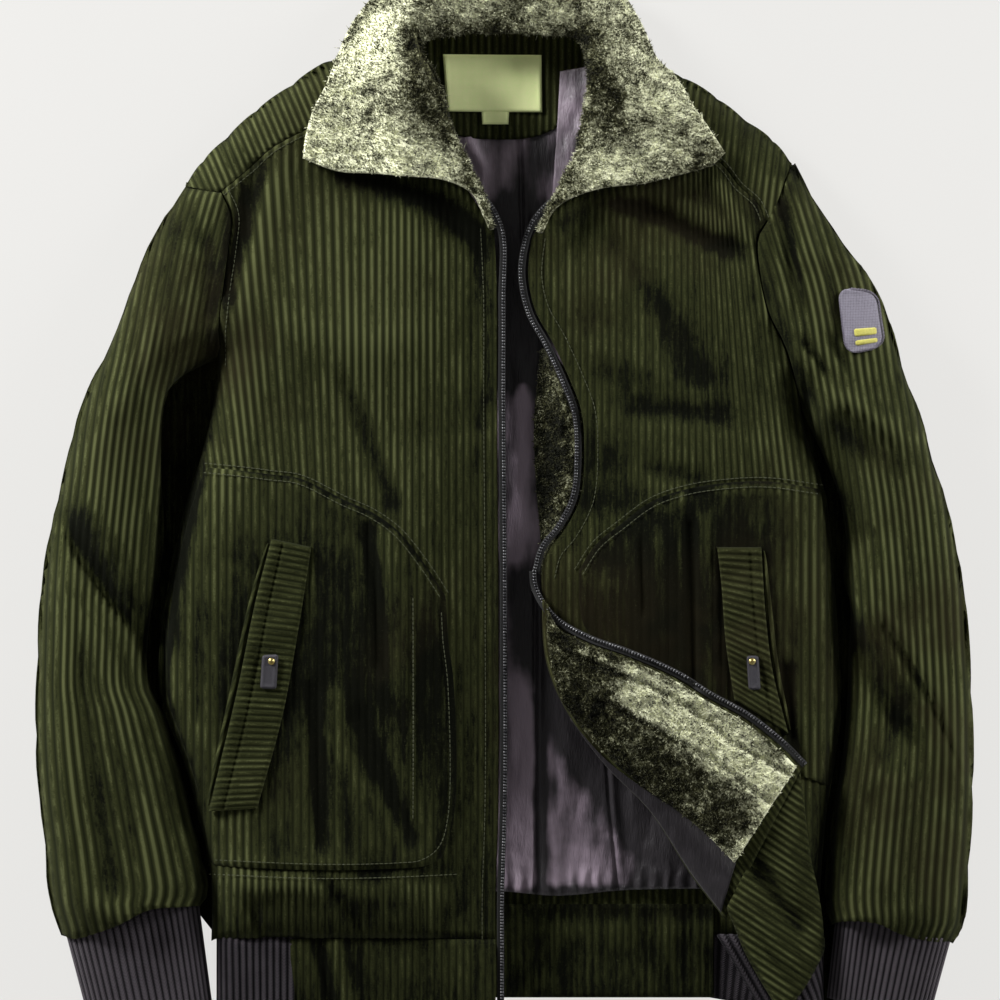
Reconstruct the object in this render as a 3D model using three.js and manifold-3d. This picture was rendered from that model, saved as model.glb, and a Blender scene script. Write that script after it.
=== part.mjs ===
import * as THREE from "three";
import Module from "manifold-3d";

// A lined corduroy jacket lying on its back.
// Millimetres, +X to the viewer's right, +Y towards the collar, +Z up.
// Right and left are the wearer's, so the right side has negative X.

// Driving sizes
const VIEW_HEIGHT = 2200; // outlines are as seen from here, so a raised point is drawn in to the middle
const CLOTH = 2; // corduroy wall
const SATIN = 1; // lining wall
const PLUSH = 4; // plush wall on the facing
const COLLAR_PLUSH = 5;
const KNIT = 2.4; // ribbed knit wall
const BAND = 4; // doubled cloth of the waistband
const SEAM_GAP = 0.3; // between pieces that meet at a seam
const LAID_GAP = 0.8; // under a piece that lies on a curved panel
const BODY_HEIGHT = 39; // front over back at the chest
const SHOULDER_HEIGHT = 31;
const SLEEVE_HEIGHT = 43;
const CUFF_HEIGHT = 31;
const BAND_HEIGHT = 27;
const HEM_HEIGHT = 21;
const EDGE_HEIGHT = 24; // top of the fronts along the zip
const EDGE_EASE = 70; // over which a front falls to that
const SIDE_HEIGHT = 12; // where front and back meet at the side
const SIDE_ROUND = 30;
const BACK_ROUND = 12;
const FLAP_LIFT = 8; // folded corner above the front under it
const CREASE_ROUND = 5; // outer radius of the fold
const BAND_GAP = 0.8; // between the panels and the waistband
const HEM_FRONT = -372;
const HEM_BACK = -348;
const WAIST = -307;
const RIB_PITCH = 5;
const RIB_RAISE = 0.8;
const TAPE_WIDTH = 5;
const TAPE = 1.5;

// Outlines, each a row of [x, y] from the collar end down
const armholeRight = [
  [-220, 220], [-207, 218], [-195, 216], [-188, 200], [-190, 175], [-194, 147], [-197, 119],
  [-197, 100],
];
const armholeLeft = [
  [204, 235], [195, 214], [186, 195], [180, 184], [181, 161], [188, 130], [197, 112], [203, 95],
  [210, 68],
];
const sideRight = [
  [-197, 100], [-200, 72], [-207, 40], [-214, 15], [-225, -26], [-232, -62], [-236, -92], [-236, -140],
  [-228, -165], [-218, -194], [-211, -223], [-204, -252], [-202, -274], [-202, -307],
];
const sideLeft = [
  [210, 68], [213, 50], [218, 33], [225, 11], [230, -17], [233, -48], [235, -74], [237, -110],
  [238, -140], [235, -175], [230, -210], [226, -245], [224, -280], [223, -307],
];
const outerRight = [
  [-220, 220], [-242, 183], [-254, 156], [-274, 106], [-290, 71], [-299, 42], [-309, 0], [-314, -22],
  [-320, -62], [-323, -111], [-324, -165], [-322, -205], [-318, -241], [-314, -279], [-307, -303],
];
const outerLeft = [
  [204, 235], [216, 216], [230, 195], [244, 174], [258, 154], [271, 127], [283, 88], [295, 55],
  [302, 29], [312, -3], [319, -35], [324, -65], [329, -134], [330, -201], [327, -257], [323, -297],
  [317, -309],
];
const innerRight = [
  [-199, 98], [-217, 90], [-231, 78], [-236, 60], [-237, 14], [-238, -42], [-243, -72], [-247, -108],
  [-245, -130], [-238, -146], [-231, -168], [-223, -196], [-216, -225], [-209, -254], [-206, -274],
  [-210, -284],
];
const innerLeft = [
  [212, 67], [219, 48], [228, 27], [238, 0], [242, -29], [242, -57], [245, -75], [244, -105],
  [243, -140], [240, -175], [235, -210], [231, -245], [229, -280], [232, -296],
];
const shoulderRight = [
  [-72, 316], [-117, 307], [-145, 290], [-170, 272], [-191, 253], [-207, 237], [-220, 220],
];
const shoulderLeft = [[72, 315], [127, 295], [152, 280], [172, 265], [190, 251], [204, 235]];
const yokeSeamRight = [
  [-66, 291], [-105, 274], [-134, 260], [-160, 246], [-173, 234], [-185, 224], [-195, 216],
];
const yokeSeamLeft = [[70, 291], [112, 263], [154, 236], [167, 220], [180, 208], [186, 195]];
const neckRight = [[-66, 291], [-52, 267], [-36, 239], [-20, 213], [-4, 189]];
const neckLeft = [[70, 291], [62, 270], [50, 235], [35, 205], [22, 183]];
const zipRight = [[-4, 189], [-2, 140], [-2, 70], [-1, -70], [-1, -210], [-3, -280], [-3, WAIST]];
const zipLeft = [
  [22, 183], [20, 167], [20, 153], [25, 132], [36, 112], [49, 84], [57, 62], [59, 34], [56, 1],
  [45, -21], [34, -35], [29, -52],
];
const crease = [[29, -56], [32, -112], [46, -147], [74, -186], [105, -218], [134, -263], [157, -293]];
const creaseFoot = [[157, -293], [167, -309]];
const flapEdge = [
  [31, -62], [39, -87], [61, -100], [89, -110], [123, -125], [145, -139], [172, -154], [195, -172],
  [211, -188],
];
const collarInner = [
  [-3, 190], [-11, 216], [-27, 241], [-33, 257], [-37, 271], [-49, 285], [-59, 314], [-50, 321],
  [-25, 325], [0, 326], [30, 325], [55, 320], [61, 290], [56, 265], [52, 241], [36, 211], [25, 188],
];
const collarOuter = [
  [-138, 240], [-136, 256], [-131, 273], [-122, 291], [-108, 326], [-98, 342], [-84, 356], [-50, 370],
  [0, 377], [50, 371], [84, 356], [98, 336], [111, 309], [125, 295], [134, 279], [143, 266],
  [158, 243],
];
const collarEndRight = [
  [-3, 190], [-17, 213], [-27, 220], [-42, 225], [-71, 227], [-91, 229], [-111, 230], [-125, 234],
  [-138, 240],
];
const collarEndLeft = [
  [25, 188], [34, 201], [46, 210], [69, 218], [104, 223], [122, 227], [140, 232], [150, 236],
  [158, 243],
];
const pocketTopRight = [
  [-185, 21], [-161, 18], [-140, 15], [-109, 0], [-89, -9], [-71, -22], [-51, -47], [-38, -67],
  [-36, -98], [-32, -130],
];

// Soft folds of the body and sleeves: a segment, its half width, and how far it stands up or sinks
const bodyFolds = [
  { x0: -180, y0: 150, x1: -90, y1: 110, half: 26, rise: 2.5 },
  { x0: -150, y0: 60, x1: -60, y1: 40, half: 24, rise: -2 },
  { x0: -190, y0: -262, x1: -110, y1: -270, half: 16, rise: 3.5 },
  { x0: 105, y0: 203, x1: 165, y1: 172, half: 18, rise: -3 },
  { x0: 70, y0: 60, x1: 190, y1: 30, half: 26, rise: 2 },
];
const sleeveFolds = [
  { x0: -309, y0: -10, x1: -250, y1: -112, half: 13, rise: -11 },
  { x0: -300, y0: -62, x1: -232, y1: -160, half: 20, rise: 6 },
  { x0: -232, y0: -160, x1: -216, y1: -265, half: 16, rise: 4 },
  { x0: -280, y0: 60, x1: -262, y1: -20, half: 18, rise: 3 },
  { x0: 226, y0: 68, x1: 300, y1: 42, half: 15, rise: 6 },
  { x0: 232, y0: 36, x1: 252, y1: -24, half: 15, rise: -14 },
  { x0: 246, y0: -72, x1: 326, y1: -192, half: 12, rise: 6 },
  { x0: 252, y0: -105, x1: 282, y1: -160, half: 20, rise: -11 },
  { x0: 206, y0: 212, x1: 216, y1: 175, half: 10, rise: 4 },
];

const clamp = (value, low, high) => Math.min(high, Math.max(low, value));
const mix = (a, b, t) => a + (b - a) * t;
const ease = (t) => t * t * (3 - 2 * t);
const easeUp = (value, low, high) => ease(clamp((value - low) / (high - low), 0, 1));
// Height of a quarter round, 0 at its foot and 1 on the flat
const round = (distance, radius) => Math.sqrt(1 - (1 - clamp(distance / radius, 0, 1)) ** 2);

// A smooth curve through the points of an outline, taken at even lengths by its call
function curveThrough(points) {
  const places = points.map(([x, y]) => new THREE.Vector3(x, y, 0));
  const curve = new THREE.CatmullRomCurve3(places, false, "centripetal");
  curve.arcLengthDivisions = 400;
  return (t) => {
    const p = curve.getPointAt(clamp(t, 0, 1));
    return [p.x, p.y];
  };
}

// Two outlines as one run, the first up to the share given, so that neighbours meet point for point
function inParts(first, share, second) {
  const [a, b] = [first, second].map(curveThrough);
  return (t) => (t <= share ? a(t / share) : b((t - share) / (1 - share)));
}

const reversed = (points) => [...points].reverse();
const joined = (...lists) => lists.flatMap((list, i) => (i ? list.slice(1) : list));

function distanceToSegment(x, y, [x0, y0], [x1, y1]) {
  const dx = x1 - x0;
  const dy = y1 - y0;
  const t = clamp(((x - x0) * dx + (y - y0) * dy) / (dx * dx + dy * dy || 1), 0, 1);
  return Math.hypot(x - x0 - dx * t, y - y0 - dy * t);
}

function distanceTo(outline, x, y) {
  let best = Infinity;
  for (let i = 1; i < outline.length; i++) {
    best = Math.min(best, distanceToSegment(x, y, outline[i - 1], outline[i]));
  }
  return best;
}

const nearest = (outlines, x, y) => Math.min(...outlines.map((outline) => distanceTo(outline, x, y)));
const bodyRims = [sideRight, sideLeft, outerRight, outerLeft, shoulderRight, shoulderLeft];
const sleeveRims = [innerRight, innerLeft, outerRight, outerLeft, shoulderRight, shoulderLeft];
const frontEdges = [zipRight, joined(zipLeft, crease, creaseFoot)];

function foldsAt(folds, x, y) {
  let sum = 0;
  for (const { x0, y0, x1, y1, half, rise } of folds) {
    sum += rise * Math.exp(-((distanceToSegment(x, y, [x0, y0], [x1, y1]) / half) ** 2));
  }
  return sum;
}

// Tops of the cloth over the floor
function bodyTop(x, y) {
  const rim = round(nearest(bodyRims, x, y), SIDE_ROUND);
  const chest = mix(BODY_HEIGHT, SHOULDER_HEIGHT, easeUp(y, 90, 240));
  const blouse = mix(BAND_HEIGHT + 1, chest, round(y - WAIST, 34));
  const flat = mix(EDGE_HEIGHT, blouse, easeUp(nearest(frontEdges, x, y), 0, EDGE_EASE));
  return SIDE_HEIGHT + (flat - SIDE_HEIGHT + foldsAt(bodyFolds, x, y)) * rim;
}

function sleeveTop(x, y) {
  const rim = round(nearest(sleeveRims, x, y), SIDE_ROUND);
  const arm = mix(SLEEVE_HEIGHT, SHOULDER_HEIGHT, easeUp(y, 90, 240));
  const foot = mix(CUFF_HEIGHT + 1, arm, round(y + 302 + 0.22 * Math.max(0, -Math.abs(x) + 300), 26));
  return SIDE_HEIGHT + (foot - SIDE_HEIGHT + foldsAt(sleeveFolds, x, y)) * rim;
}

const underside = (rims, x, y) => SIDE_HEIGHT * (1 - round(nearest(rims, x, y), BACK_ROUND));

// A point as drawn from VIEW_HEIGHT, in its true place
function placed(x, y, z) {
  const k = (VIEW_HEIGHT - z) / VIEW_HEIGHT;
  return new THREE.Vector3(x * k, y * k, z);
}

// Fills in between four edge curves: across goes from the first to the second of sides, down along both
function patch({ top, bottom, sides: [first, second] }) {
  const asCurve = (edge) => (typeof edge === "function" ? edge : curveThrough(edge));
  const [t, b, f, s] = [top, bottom, first, second].map(asCurve);
  const [t0, t1, b0, b1] = [t(0), t(1), b(0), b(1)];
  return (across, down) => {
    const [p, q, l, r] = [t(across), b(across), f(down), s(down)];
    return [0, 1].map((k) => {
      const lengthways = mix(p[k], q[k], down) + mix(l[k], r[k], across);
      const corners = mix(mix(t0[k], t1[k], across), mix(b0[k], b1[k], across), down);
      return lengthways - corners;
    });
  };
}

const steps = (count) => Array.from({ length: count + 1 }, (_, i) => i / count);
// Closer together near 0, or near both ends
const nearStart = (count) => steps(count).map((t) => mix(t, t * t, 0.75));
const nearEnd = (count) => nearStart(count).map((t) => 1 - t).reverse();
const nearEnds = (count) => steps(count).map((t) => mix(t, (1 - Math.cos(Math.PI * t)) / 2, 0.9));

// Rows of points over a patch, at the height that heightAt gives
function gridOn(shape, acrossSteps, downSteps, heightAt) {
  return downSteps.map((down) =>
    acrossSteps.map((across) => {
      const [x, y] = shape(across, down);
      return placed(x, y, heightAt(x, y, across, down));
    }),
  );
}

// The highest that the body stands within a fingertip of a place, for what lies on it
const FINGERTIP = 5;
const aroundIt = [[0, 0], [FINGERTIP, 0], [-FINGERTIP, 0], [0, FINGERTIP], [0, -FINGERTIP]];
const crest = (topAt, x, y) => Math.max(...aroundIt.map(([dx, dy]) => topAt(x + dx, y + dy)));

// Unit normals of a grid, up where its columns run towards +X and its rows towards -Y
function normalsOf(grid, ring) {
  const rows = grid.length;
  const columns = grid[0].length;
  return grid.map((row, i) =>
    row.map((_, j) => {
      const left = ring ? (j + columns - 1) % columns : Math.max(0, j - 1);
      const right = ring ? (j + 1) % columns : Math.min(columns - 1, j + 1);
      const across = grid[i][right].clone().sub(grid[i][left]);
      const down = grid[Math.min(rows - 1, i + 1)][j].clone().sub(grid[Math.max(0, i - 1)][j]);
      const normal = down.cross(across).normalize();
      const atSide = Math.abs(grid[i][j].z - SIDE_HEIGHT) < 0.4 && Math.hypot(normal.x, normal.y) > 0.3;
      return ring || !atSide ? normal : normal.setZ(0).normalize();
    }),
  );
}

// A closed wall under a grid of outer points. raise lifts outer points over the plain inside.
function wall(grid, thickness, { ring = false, raise = null, straightDown = false } = {}) {
  const rows = grid.length;
  const columns = grid[0].length;
  const normals = normalsOf(grid, ring);
  const positions = [];
  const put = (p) => positions.push(p.x, p.y, p.z);
  grid.forEach((row, i) =>
    row.forEach((p, j) => put(raise ? p.clone().addScaledVector(normals[i][j], raise(i, j)) : p)),
  );
  const down = new THREE.Vector3(0, 0, 1);
  grid.forEach((row, i) =>
    row.forEach((p, j) => put(p.clone().addScaledVector(straightDown ? down : normals[i][j], -thickness))),
  );
  const inner = rows * columns;
  const at = (i, j) => i * columns + (j % columns);
  const index = [];
  const quad = (a, b, c, d) => index.push(a, b, c, a, c, d);
  const lastColumn = ring ? columns : columns - 1;
  for (let i = 0; i < rows - 1; i++) {
    for (let j = 0; j < lastColumn; j++) {
      quad(at(i, j), at(i + 1, j), at(i + 1, j + 1), at(i, j + 1));
      quad(inner + at(i, j), inner + at(i, j + 1), inner + at(i + 1, j + 1), inner + at(i + 1, j));
    }
  }
  for (let j = 0; j < lastColumn; j++) {
    quad(at(0, j), at(0, j + 1), inner + at(0, j + 1), inner + at(0, j));
    const end = rows - 1;
    quad(at(end, j + 1), at(end, j), inner + at(end, j), inner + at(end, j + 1));
  }
  if (!ring) {
    for (let i = 0; i < rows - 1; i++) {
      quad(at(i + 1, 0), at(i, 0), inner + at(i, 0), inner + at(i + 1, 0));
      const end = columns - 1;
      quad(at(i, end), at(i + 1, end), inner + at(i + 1, end), inner + at(i, end));
    }
  }
  const geometry = new THREE.BufferGeometry();
  geometry.setAttribute("position", new THREE.Float32BufferAttribute(positions, 3));
  geometry.setIndex(index);
  return geometry;
}

// Finishes
const cloth = { color: 0x3c4426, roughness: 0.95, metalness: 0 };
const plush = { color: 0x8a8c66, roughness: 1, metalness: 0 };
const satin = { color: 0x5b525c, roughness: 0.45, metalness: 0 };
const knit = { color: 0x4c484c, roughness: 0.95, metalness: 0 };
const labelCloth = { color: 0xb9ea92, roughness: 0.7, metalness: 0 };
const patchCloth = { color: 0x8f8b99, roughness: 0.9, metalness: 0 };
const gunmetal = { color: 0x4a4a50, roughness: 0.4, metalness: 0.9 };
const brassy = { color: 0xb5a36a, roughness: 0.35, metalness: 0.9 };

const jacket = new THREE.Group();
function add(name, geometry, finish) {
  const mesh = new THREE.Mesh(geometry, new THREE.MeshStandardMaterial(finish));
  mesh.name = name;
  jacket.add(mesh);
  return mesh;
}

// Moved sideways from its own run, to the left of the way it goes where side is positive
function beside(points, side) {
  return points.map(([x, y], i) => {
    const [x0, y0] = points[Math.max(0, i - 1)];
    const [x1, y1] = points[Math.min(points.length - 1, i + 1)];
    const length = Math.hypot(x1 - x0, y1 - y0);
    return [x - ((y1 - y0) / length) * side, y + ((x1 - x0) / length) * side];
  });
}

// Where the shoulder seam, the neck, the armhole and the side are cut, in shares of each edge
const SHOULDER_SHARE = 0.62;
const shoulderSteps = [0, 0.05, 0.14, 0.26, 0.4, 0.56, 0.72, 0.86, 1];
const neckSteps = [0.25, 0.5, 0.75, 1];
const upTo = (share, list) => list.map((t) => t * share);
const after = (share, list) => list.map((t) => mix(share, 1, t));
const frontAcross = [...upTo(SHOULDER_SHARE, shoulderSteps), ...after(SHOULDER_SHARE, neckSteps)];
const ARMHOLE_SHARE = 0.22;
const armholeSteps = [0, 0.16, 0.34, 0.54, 0.74, 0.9, 1];
const sideSteps = steps(13).slice(1);
const frontDown = [...upTo(ARMHOLE_SHARE, armholeSteps), ...after(ARMHOLE_SHARE, sideSteps)];
const CAP_SHARE = 0.16; // of a sleeve's top edge, across the yoke's end
const capSteps = [0, 0.2, 0.5];
const sleeveAcross = [...upTo(CAP_SHARE, capSteps), ...after(CAP_SHARE, armholeSteps)];
const SEAM_POINT = 2; // the row of an armhole outline where the shoulder seam ends

// Fronts
const frontRight = patch({
  top: inParts(reversed(yokeSeamRight), SHOULDER_SHARE, neckRight),
  bottom: [sideRight.at(-1), zipRight.at(-1)],
  sides: [inParts(armholeRight.slice(SEAM_POINT), ARMHOLE_SHARE, sideRight), zipRight],
});
const frontEdgeLeft = joined(zipLeft, beside(joined(crease, creaseFoot), CREASE_ROUND + 6 * SEAM_GAP));
const acrossLeft = frontAcross.map((t) => 1 - t).reverse();
const frontLeft = patch({
  top: inParts(reversed(neckLeft), 1 - SHOULDER_SHARE, yokeSeamLeft),
  bottom: [frontEdgeLeft.at(-1), sideLeft.at(-1)],
  sides: [frontEdgeLeft, inParts(armholeLeft.slice(SEAM_POINT), ARMHOLE_SHARE, sideLeft)],
});
add("front_right", wall(gridOn(frontRight, frontAcross, frontDown, bodyTop), CLOTH), cloth);
add("front_left", wall(gridOn(frontLeft, acrossLeft, frontDown, bodyTop), CLOTH), cloth);

// Shoulder yokes, from the shoulder outline to the forward seam
function yoke(outline, seam) {
  const ends = [[outline[0], seam[0]], [outline.at(-1), seam.at(-1)]];
  return patch({ top: outline, bottom: seam, sides: ends });
}
const yokeRight = yoke(reversed(shoulderRight), reversed(beside(yokeSeamRight, -2 * SEAM_GAP)));
const yokeLeft = yoke(shoulderLeft, beside(yokeSeamLeft, 2 * SEAM_GAP));
const yokeDown = nearStart(5);
add("shoulder_yoke_right", wall(gridOn(yokeRight, shoulderSteps, yokeDown, bodyTop), CLOTH), cloth);
const shoulderLeftSteps = reversed(shoulderSteps).map((t) => 1 - t);
add("shoulder_yoke_left", wall(gridOn(yokeLeft, shoulderLeftSteps, yokeDown, bodyTop), CLOTH), cloth);

// The back is turned face down, so its grid runs the other way
const backNeck = [[72, 315], [40, 320], [0, 321.5], [-40, 320], [-72, 316]];
const BACK_CAP = 0.06;
const BACK_ARMHOLE = 0.26;
const backEdge = (armhole, side) => {
  const capShare = BACK_CAP / BACK_ARMHOLE;
  const upper = inParts(armhole.slice(0, SEAM_POINT + 1), capShare, armhole.slice(SEAM_POINT));
  const lower = curveThrough(side);
  const share = BACK_ARMHOLE;
  return (t) => (t <= share ? upper(t / share) : lower((t - share) / (1 - share)));
};
const backDown = [
  ...upTo(BACK_CAP, capSteps),
  ...armholeSteps.map((t) => mix(BACK_CAP, BACK_ARMHOLE, t)),
  ...after(BACK_ARMHOLE, steps(10).slice(1)),
];
const back = patch({
  top: joined(reversed(shoulderLeft), backNeck, shoulderRight),
  bottom: [sideLeft.at(-1), sideRight.at(-1)],
  sides: [backEdge(armholeLeft, sideLeft), backEdge(armholeRight, sideRight)],
});
const backBottom = (x, y) => Math.min(underside(bodyRims, x, y), SIDE_HEIGHT - SEAM_GAP);
add("back_panel", wall(gridOn(back, nearEnds(16), backDown, backBottom), CLOTH), cloth);

// A sleeve is a tube: over the top from the outer edge to the inner, and back underneath
function sleeveTube({ armhole, cuffLine, outer, inner, mirrored }) {
  const shape = patch({
    top: inParts(armhole.slice(0, SEAM_POINT + 1), CAP_SHARE, armhole.slice(SEAM_POINT)),
    bottom: cuffLine,
    sides: [[armhole[0], ...outer.slice(1)], [armhole.at(-1), ...inner.slice(1)]],
  });
  const under = sleeveAcross.slice(1, -1).reverse();
  return steps(20).map((down) => {
    const spot = (across, heightAt) => {
      const [x, y] = shape(across, down);
      return placed(x, y, heightAt(x, y));
    };
    const ring = [
      ...sleeveAcross.map((across) => spot(across, sleeveTop)),
      ...under.map((across) => spot(across, (x, y) => underside(sleeveRims, x, y))),
    ];
    return mirrored ? ring.reverse() : ring;
  });
}
const cuffTopRight = [
  [-307, -303], [-300, -307], [-270, -299], [-245, -287], [-222, -285], [-210, -284],
];
const cuffTopLeft = [[317, -309], [302, -309], [280, -304], [265, -297], [245, -295], [232, -296]];
const sleeveRight = sleeveTube({
  armhole: beside(armholeRight, -3 * SEAM_GAP),
  cuffLine: cuffTopRight,
  outer: outerRight,
  inner: innerRight,
});
const sleeveLeft = sleeveTube({
  armhole: beside(armholeLeft, 4 * SEAM_GAP),
  cuffLine: cuffTopLeft,
  outer: outerLeft,
  inner: innerLeft,
  mirrored: true,
});
add("sleeve_right", wall(sleeveRight, CLOTH, { ring: true }), cloth);
add("sleeve_left", wall(sleeveLeft, CLOTH, { ring: true }), cloth);

// Ribbed cuffs
function cuffTube({ top, foot, sides, mirrored }) {
  const shape = patch({ top, bottom: foot, sides });
  const ribs = 2 * Math.round(96 / RIB_PITCH);
  const over = steps(ribs).map((t) => mix((1 - Math.cos(Math.PI * t)) / 2, t, 0.6));
  return steps(2).map((down) => {
    const rimAt = (across, radius) => round(Math.min(across, 1 - across), radius);
    const highAt = (across) => mix(SIDE_HEIGHT, mix(CUFF_HEIGHT, 25, down), rimAt(across, 0.28));
    const lowAt = (across) => SIDE_HEIGHT * (1 - rimAt(across, 0.12));
    const spot = (across, z) => placed(...shape(across, down), z);
    const under = over.slice(1, -1).reverse();
    const ring = [...over.map((t) => spot(t, highAt(t))), ...under.map((t) => spot(t, lowAt(t)))];
    return mirrored ? ring.reverse() : ring;
  });
}
const ribRaise = (j) => (j % 2 ? RIB_RAISE : 0);
const cuffRight = cuffTube({
  top: [[-300, -308.6], [-270, -300.4], [-245, -288.6], [-222, -286.4], [-213, -285.6]],
  foot: [[-286, -373], [-245, -360], [-202, -350]],
  sides: [[[-300, -308.6], [-286, -373]], [[-213, -285.6], [-202, -350]]],
});
const cuffLeft = cuffTube({
  top: [[313, -310.6], [302, -310.4], [280, -305.4], [265, -298.4], [245, -296.4], [238, -296.8]],
  foot: [[300, -366], [265, -355], [229, -348]],
  sides: [[[313, -310.6], [300, -366]], [[238, -296.8], [229, -348]]],
  mirrored: true,
});
// The ribs underneath are flat where they rest, so only the upper half and the sides stand out
const overOnly = (grid) => (i, j) => (grid[i][j].z > SIDE_HEIGHT / 2 ? ribRaise(j) : 0);
add("cuff_right", wall(cuffRight, KNIT, { ring: true, raise: overOnly(cuffRight) }), knit);
add("cuff_left", wall(cuffLeft, KNIT, { ring: true, raise: overOnly(cuffLeft) }), knit);

// Lower front panels with the pocket welts on them
const onBody = (lift) => (x, y) => crest(bodyTop, x, y) + lift;
const pocketSideRight = [
  [-185, 21], [-194, -15], [-205, -52], [-210, -92], [-208, -140], [-202, -175], [-194, -210], [-189, -254],
];
const pocketRight = patch({
  top: pocketTopRight.slice(0, 8),
  bottom: [[-189, -254], [-127, -259], [-71, -258], [-51, -256], [-40, -246]],
  sides: [
    pocketSideRight,
    [pocketTopRight[7], [-36, -98], [-32, -130], [-32, -222], [-40, -246]],
  ],
});
const pocketLeft = patch({
  top: [[55, -49], [67, -31], [84, -17], [106, -1], [128, 7], [150, 11], [186, 13], [206, 10]],
  bottom: [[60, -82], [100, -104], [140, -126], [180, -150], [210, -176]],
  sides: [[[55, -49], [52, -66], [60, -82]], [[206, 10], [213, -48], [217, -110], [210, -176]]],
});
const POCKET_TOP = LAID_GAP + SATIN;
add("pocket_panel_right", wall(gridOn(pocketRight, steps(9), steps(13), onBody(POCKET_TOP)), SATIN), cloth);
add("pocket_panel_left", wall(gridOn(pocketLeft, steps(10), steps(7), onBody(POCKET_TOP)), SATIN), cloth);

const WELT_TOP = POCKET_TOP + LAID_GAP + SATIN;
const weltRight = patch({
  top: [[-160, -27], [-132, -33]],
  bottom: [[-200, -212], [-169, -216]],
  sides: [
    [[-160, -27], [-171, -70], [-184, -133], [-200, -212]],
    [[-132, -33], [-141, -90], [-152, -150], [-169, -216]],
  ],
});
const weltLeft = patch({
  top: [[152, -33], [183, -33]],
  bottom: [[164, -140], [200, -160]],
  sides: [
    [[152, -33], [155, -60], [158, -100], [164, -140]],
    [[183, -33], [186, -80], [190, -120], [200, -160]],
  ],
});
add("pocket_welt_right", wall(gridOn(weltRight, steps(3), steps(14), onBody(WELT_TOP)), SATIN), cloth);
add("pocket_welt_left", wall(gridOn(weltLeft, steps(3), steps(10), onBody(WELT_TOP)), SATIN), cloth);

// Tab and stud on each welt
const TAB = 1.2;
const TAB_TOP = WELT_TOP + LAID_GAP + TAB;
const box = (x0, y0, x1, y1) => patch({
  top: [[x0, y0], [x1, y0]],
  bottom: [[x0, y1], [x1, y1]],
  sides: [[[x0, y0], [x0, y1]], [[x1, y0], [x1, y1]]],
});
const STUD = { radius: 2.4, height: 1.6 };
function stud(name, x, y) {
  const geometry = new THREE.CylinderGeometry(STUD.radius * 0.8, STUD.radius, STUD.height, 12);
  geometry.rotateX(Math.PI / 2);
  const base = placed(x, y, crest(bodyTop, x, y) + TAB_TOP + SEAM_GAP);
  geometry.translate(base.x, base.y, base.z + STUD.height / 2);
  add(name, geometry, brassy);
}
const tabRight = gridOn(box(-166, -109, -155, -132), steps(2), steps(4), onBody(TAB_TOP));
const tabLeft = gridOn(box(172, -109, 181, -132), steps(2), steps(4), onBody(TAB_TOP));
add("pocket_tab_right", wall(tabRight, TAB), knit);
add("pocket_tab_left", wall(tabLeft, TAB), knit);
stud("pocket_stud_right", -160, -113);
stud("pocket_stud_left", 177, -113);

// The folded corner of the left front: round the crease, then over the front
const creaseAt = curveThrough(crease);
const flapEdgeAt = curveThrough(flapEdge);
const ROUND_STEPS = 5;
function turned(fromAt, toAt, downs, acrosses, heightAt) {
  return downs.map((down) => {
    const [cx, cy] = fromAt(down);
    const [ex, ey] = toAt(down);
    const width = Math.hypot(ex - cx, ey - cy);
    const way = [(ex - cx) / width, (ey - cy) / width];
    const low = heightAt(cx, cy, 0, down);
    const roundPart = steps(ROUND_STEPS).map((t) => {
      const angle = Math.PI * (t - 0.5);
      const inwards = CREASE_ROUND * (1 - Math.cos(angle));
      const fall = CREASE_ROUND * (1 - Math.sin(angle));
      return placed(cx + way[0] * inwards, cy + way[1] * inwards, low - fall);
    });
    const flat = acrosses.map((t) => {
      const along = mix(CREASE_ROUND / width, 1, t);
      const x = mix(cx, ex, along);
      const y = mix(cy, ey, along);
      return placed(x, y, heightAt(x, y, t, down));
    });
    return [...roundPart, ...flat.slice(1)];
  });
}
const flapTop = (x, y) => bodyTop(x, y) + FLAP_LIFT;
const flapDowns = steps(12).map((t) => mix(0.3, 1, t));
add("front_left_turnback", wall(turned(creaseAt, flapEdgeAt, flapDowns, steps(6), flapTop), CLOTH), cloth);

// Plush facing and satin lining on it
const plushLine = curveThrough([[46, -150], [74, -182], [98, -201], [122, -218], [143, -235], [165, -258]]);
const facingLower = { downs: steps(12).map((t) => mix(0.34, 0.985, t)) };
const seamAt = (down) => plushLine(clamp((down - 0.34) / 0.65, 0, 1));
const plushGrid = facingLower.downs.map((down) =>
  steps(5).map((t) => {
    const [sx, sy] = seamAt(down);
    const [ex, ey] = flapEdgeAt(down);
    const x = mix(sx, ex, mix(0.02, 0.98, t));
    const y = mix(sy, ey, mix(0.02, 0.98, t));
    return placed(x, y, flapTop(x, y) + LAID_GAP + PLUSH);
  }),
);
add("facing_left_lower", wall(plushGrid, PLUSH, { straightDown: true }), plush);
const liningGrid = facingLower.downs.slice(1).map((down) =>
  steps(3).map((t) => {
    const [cx, cy] = creaseAt(down);
    const [sx, sy] = seamAt(down);
    const x = mix(cx, sx, mix(0.12, 0.97, t));
    const y = mix(cy, sy, mix(0.12, 0.97, t));
    return placed(x, y, flapTop(x, y) + LAID_GAP + SATIN);
  }),
);
add("lining_front_left", wall(liningGrid, SATIN, { straightDown: true }), satin);

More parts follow.
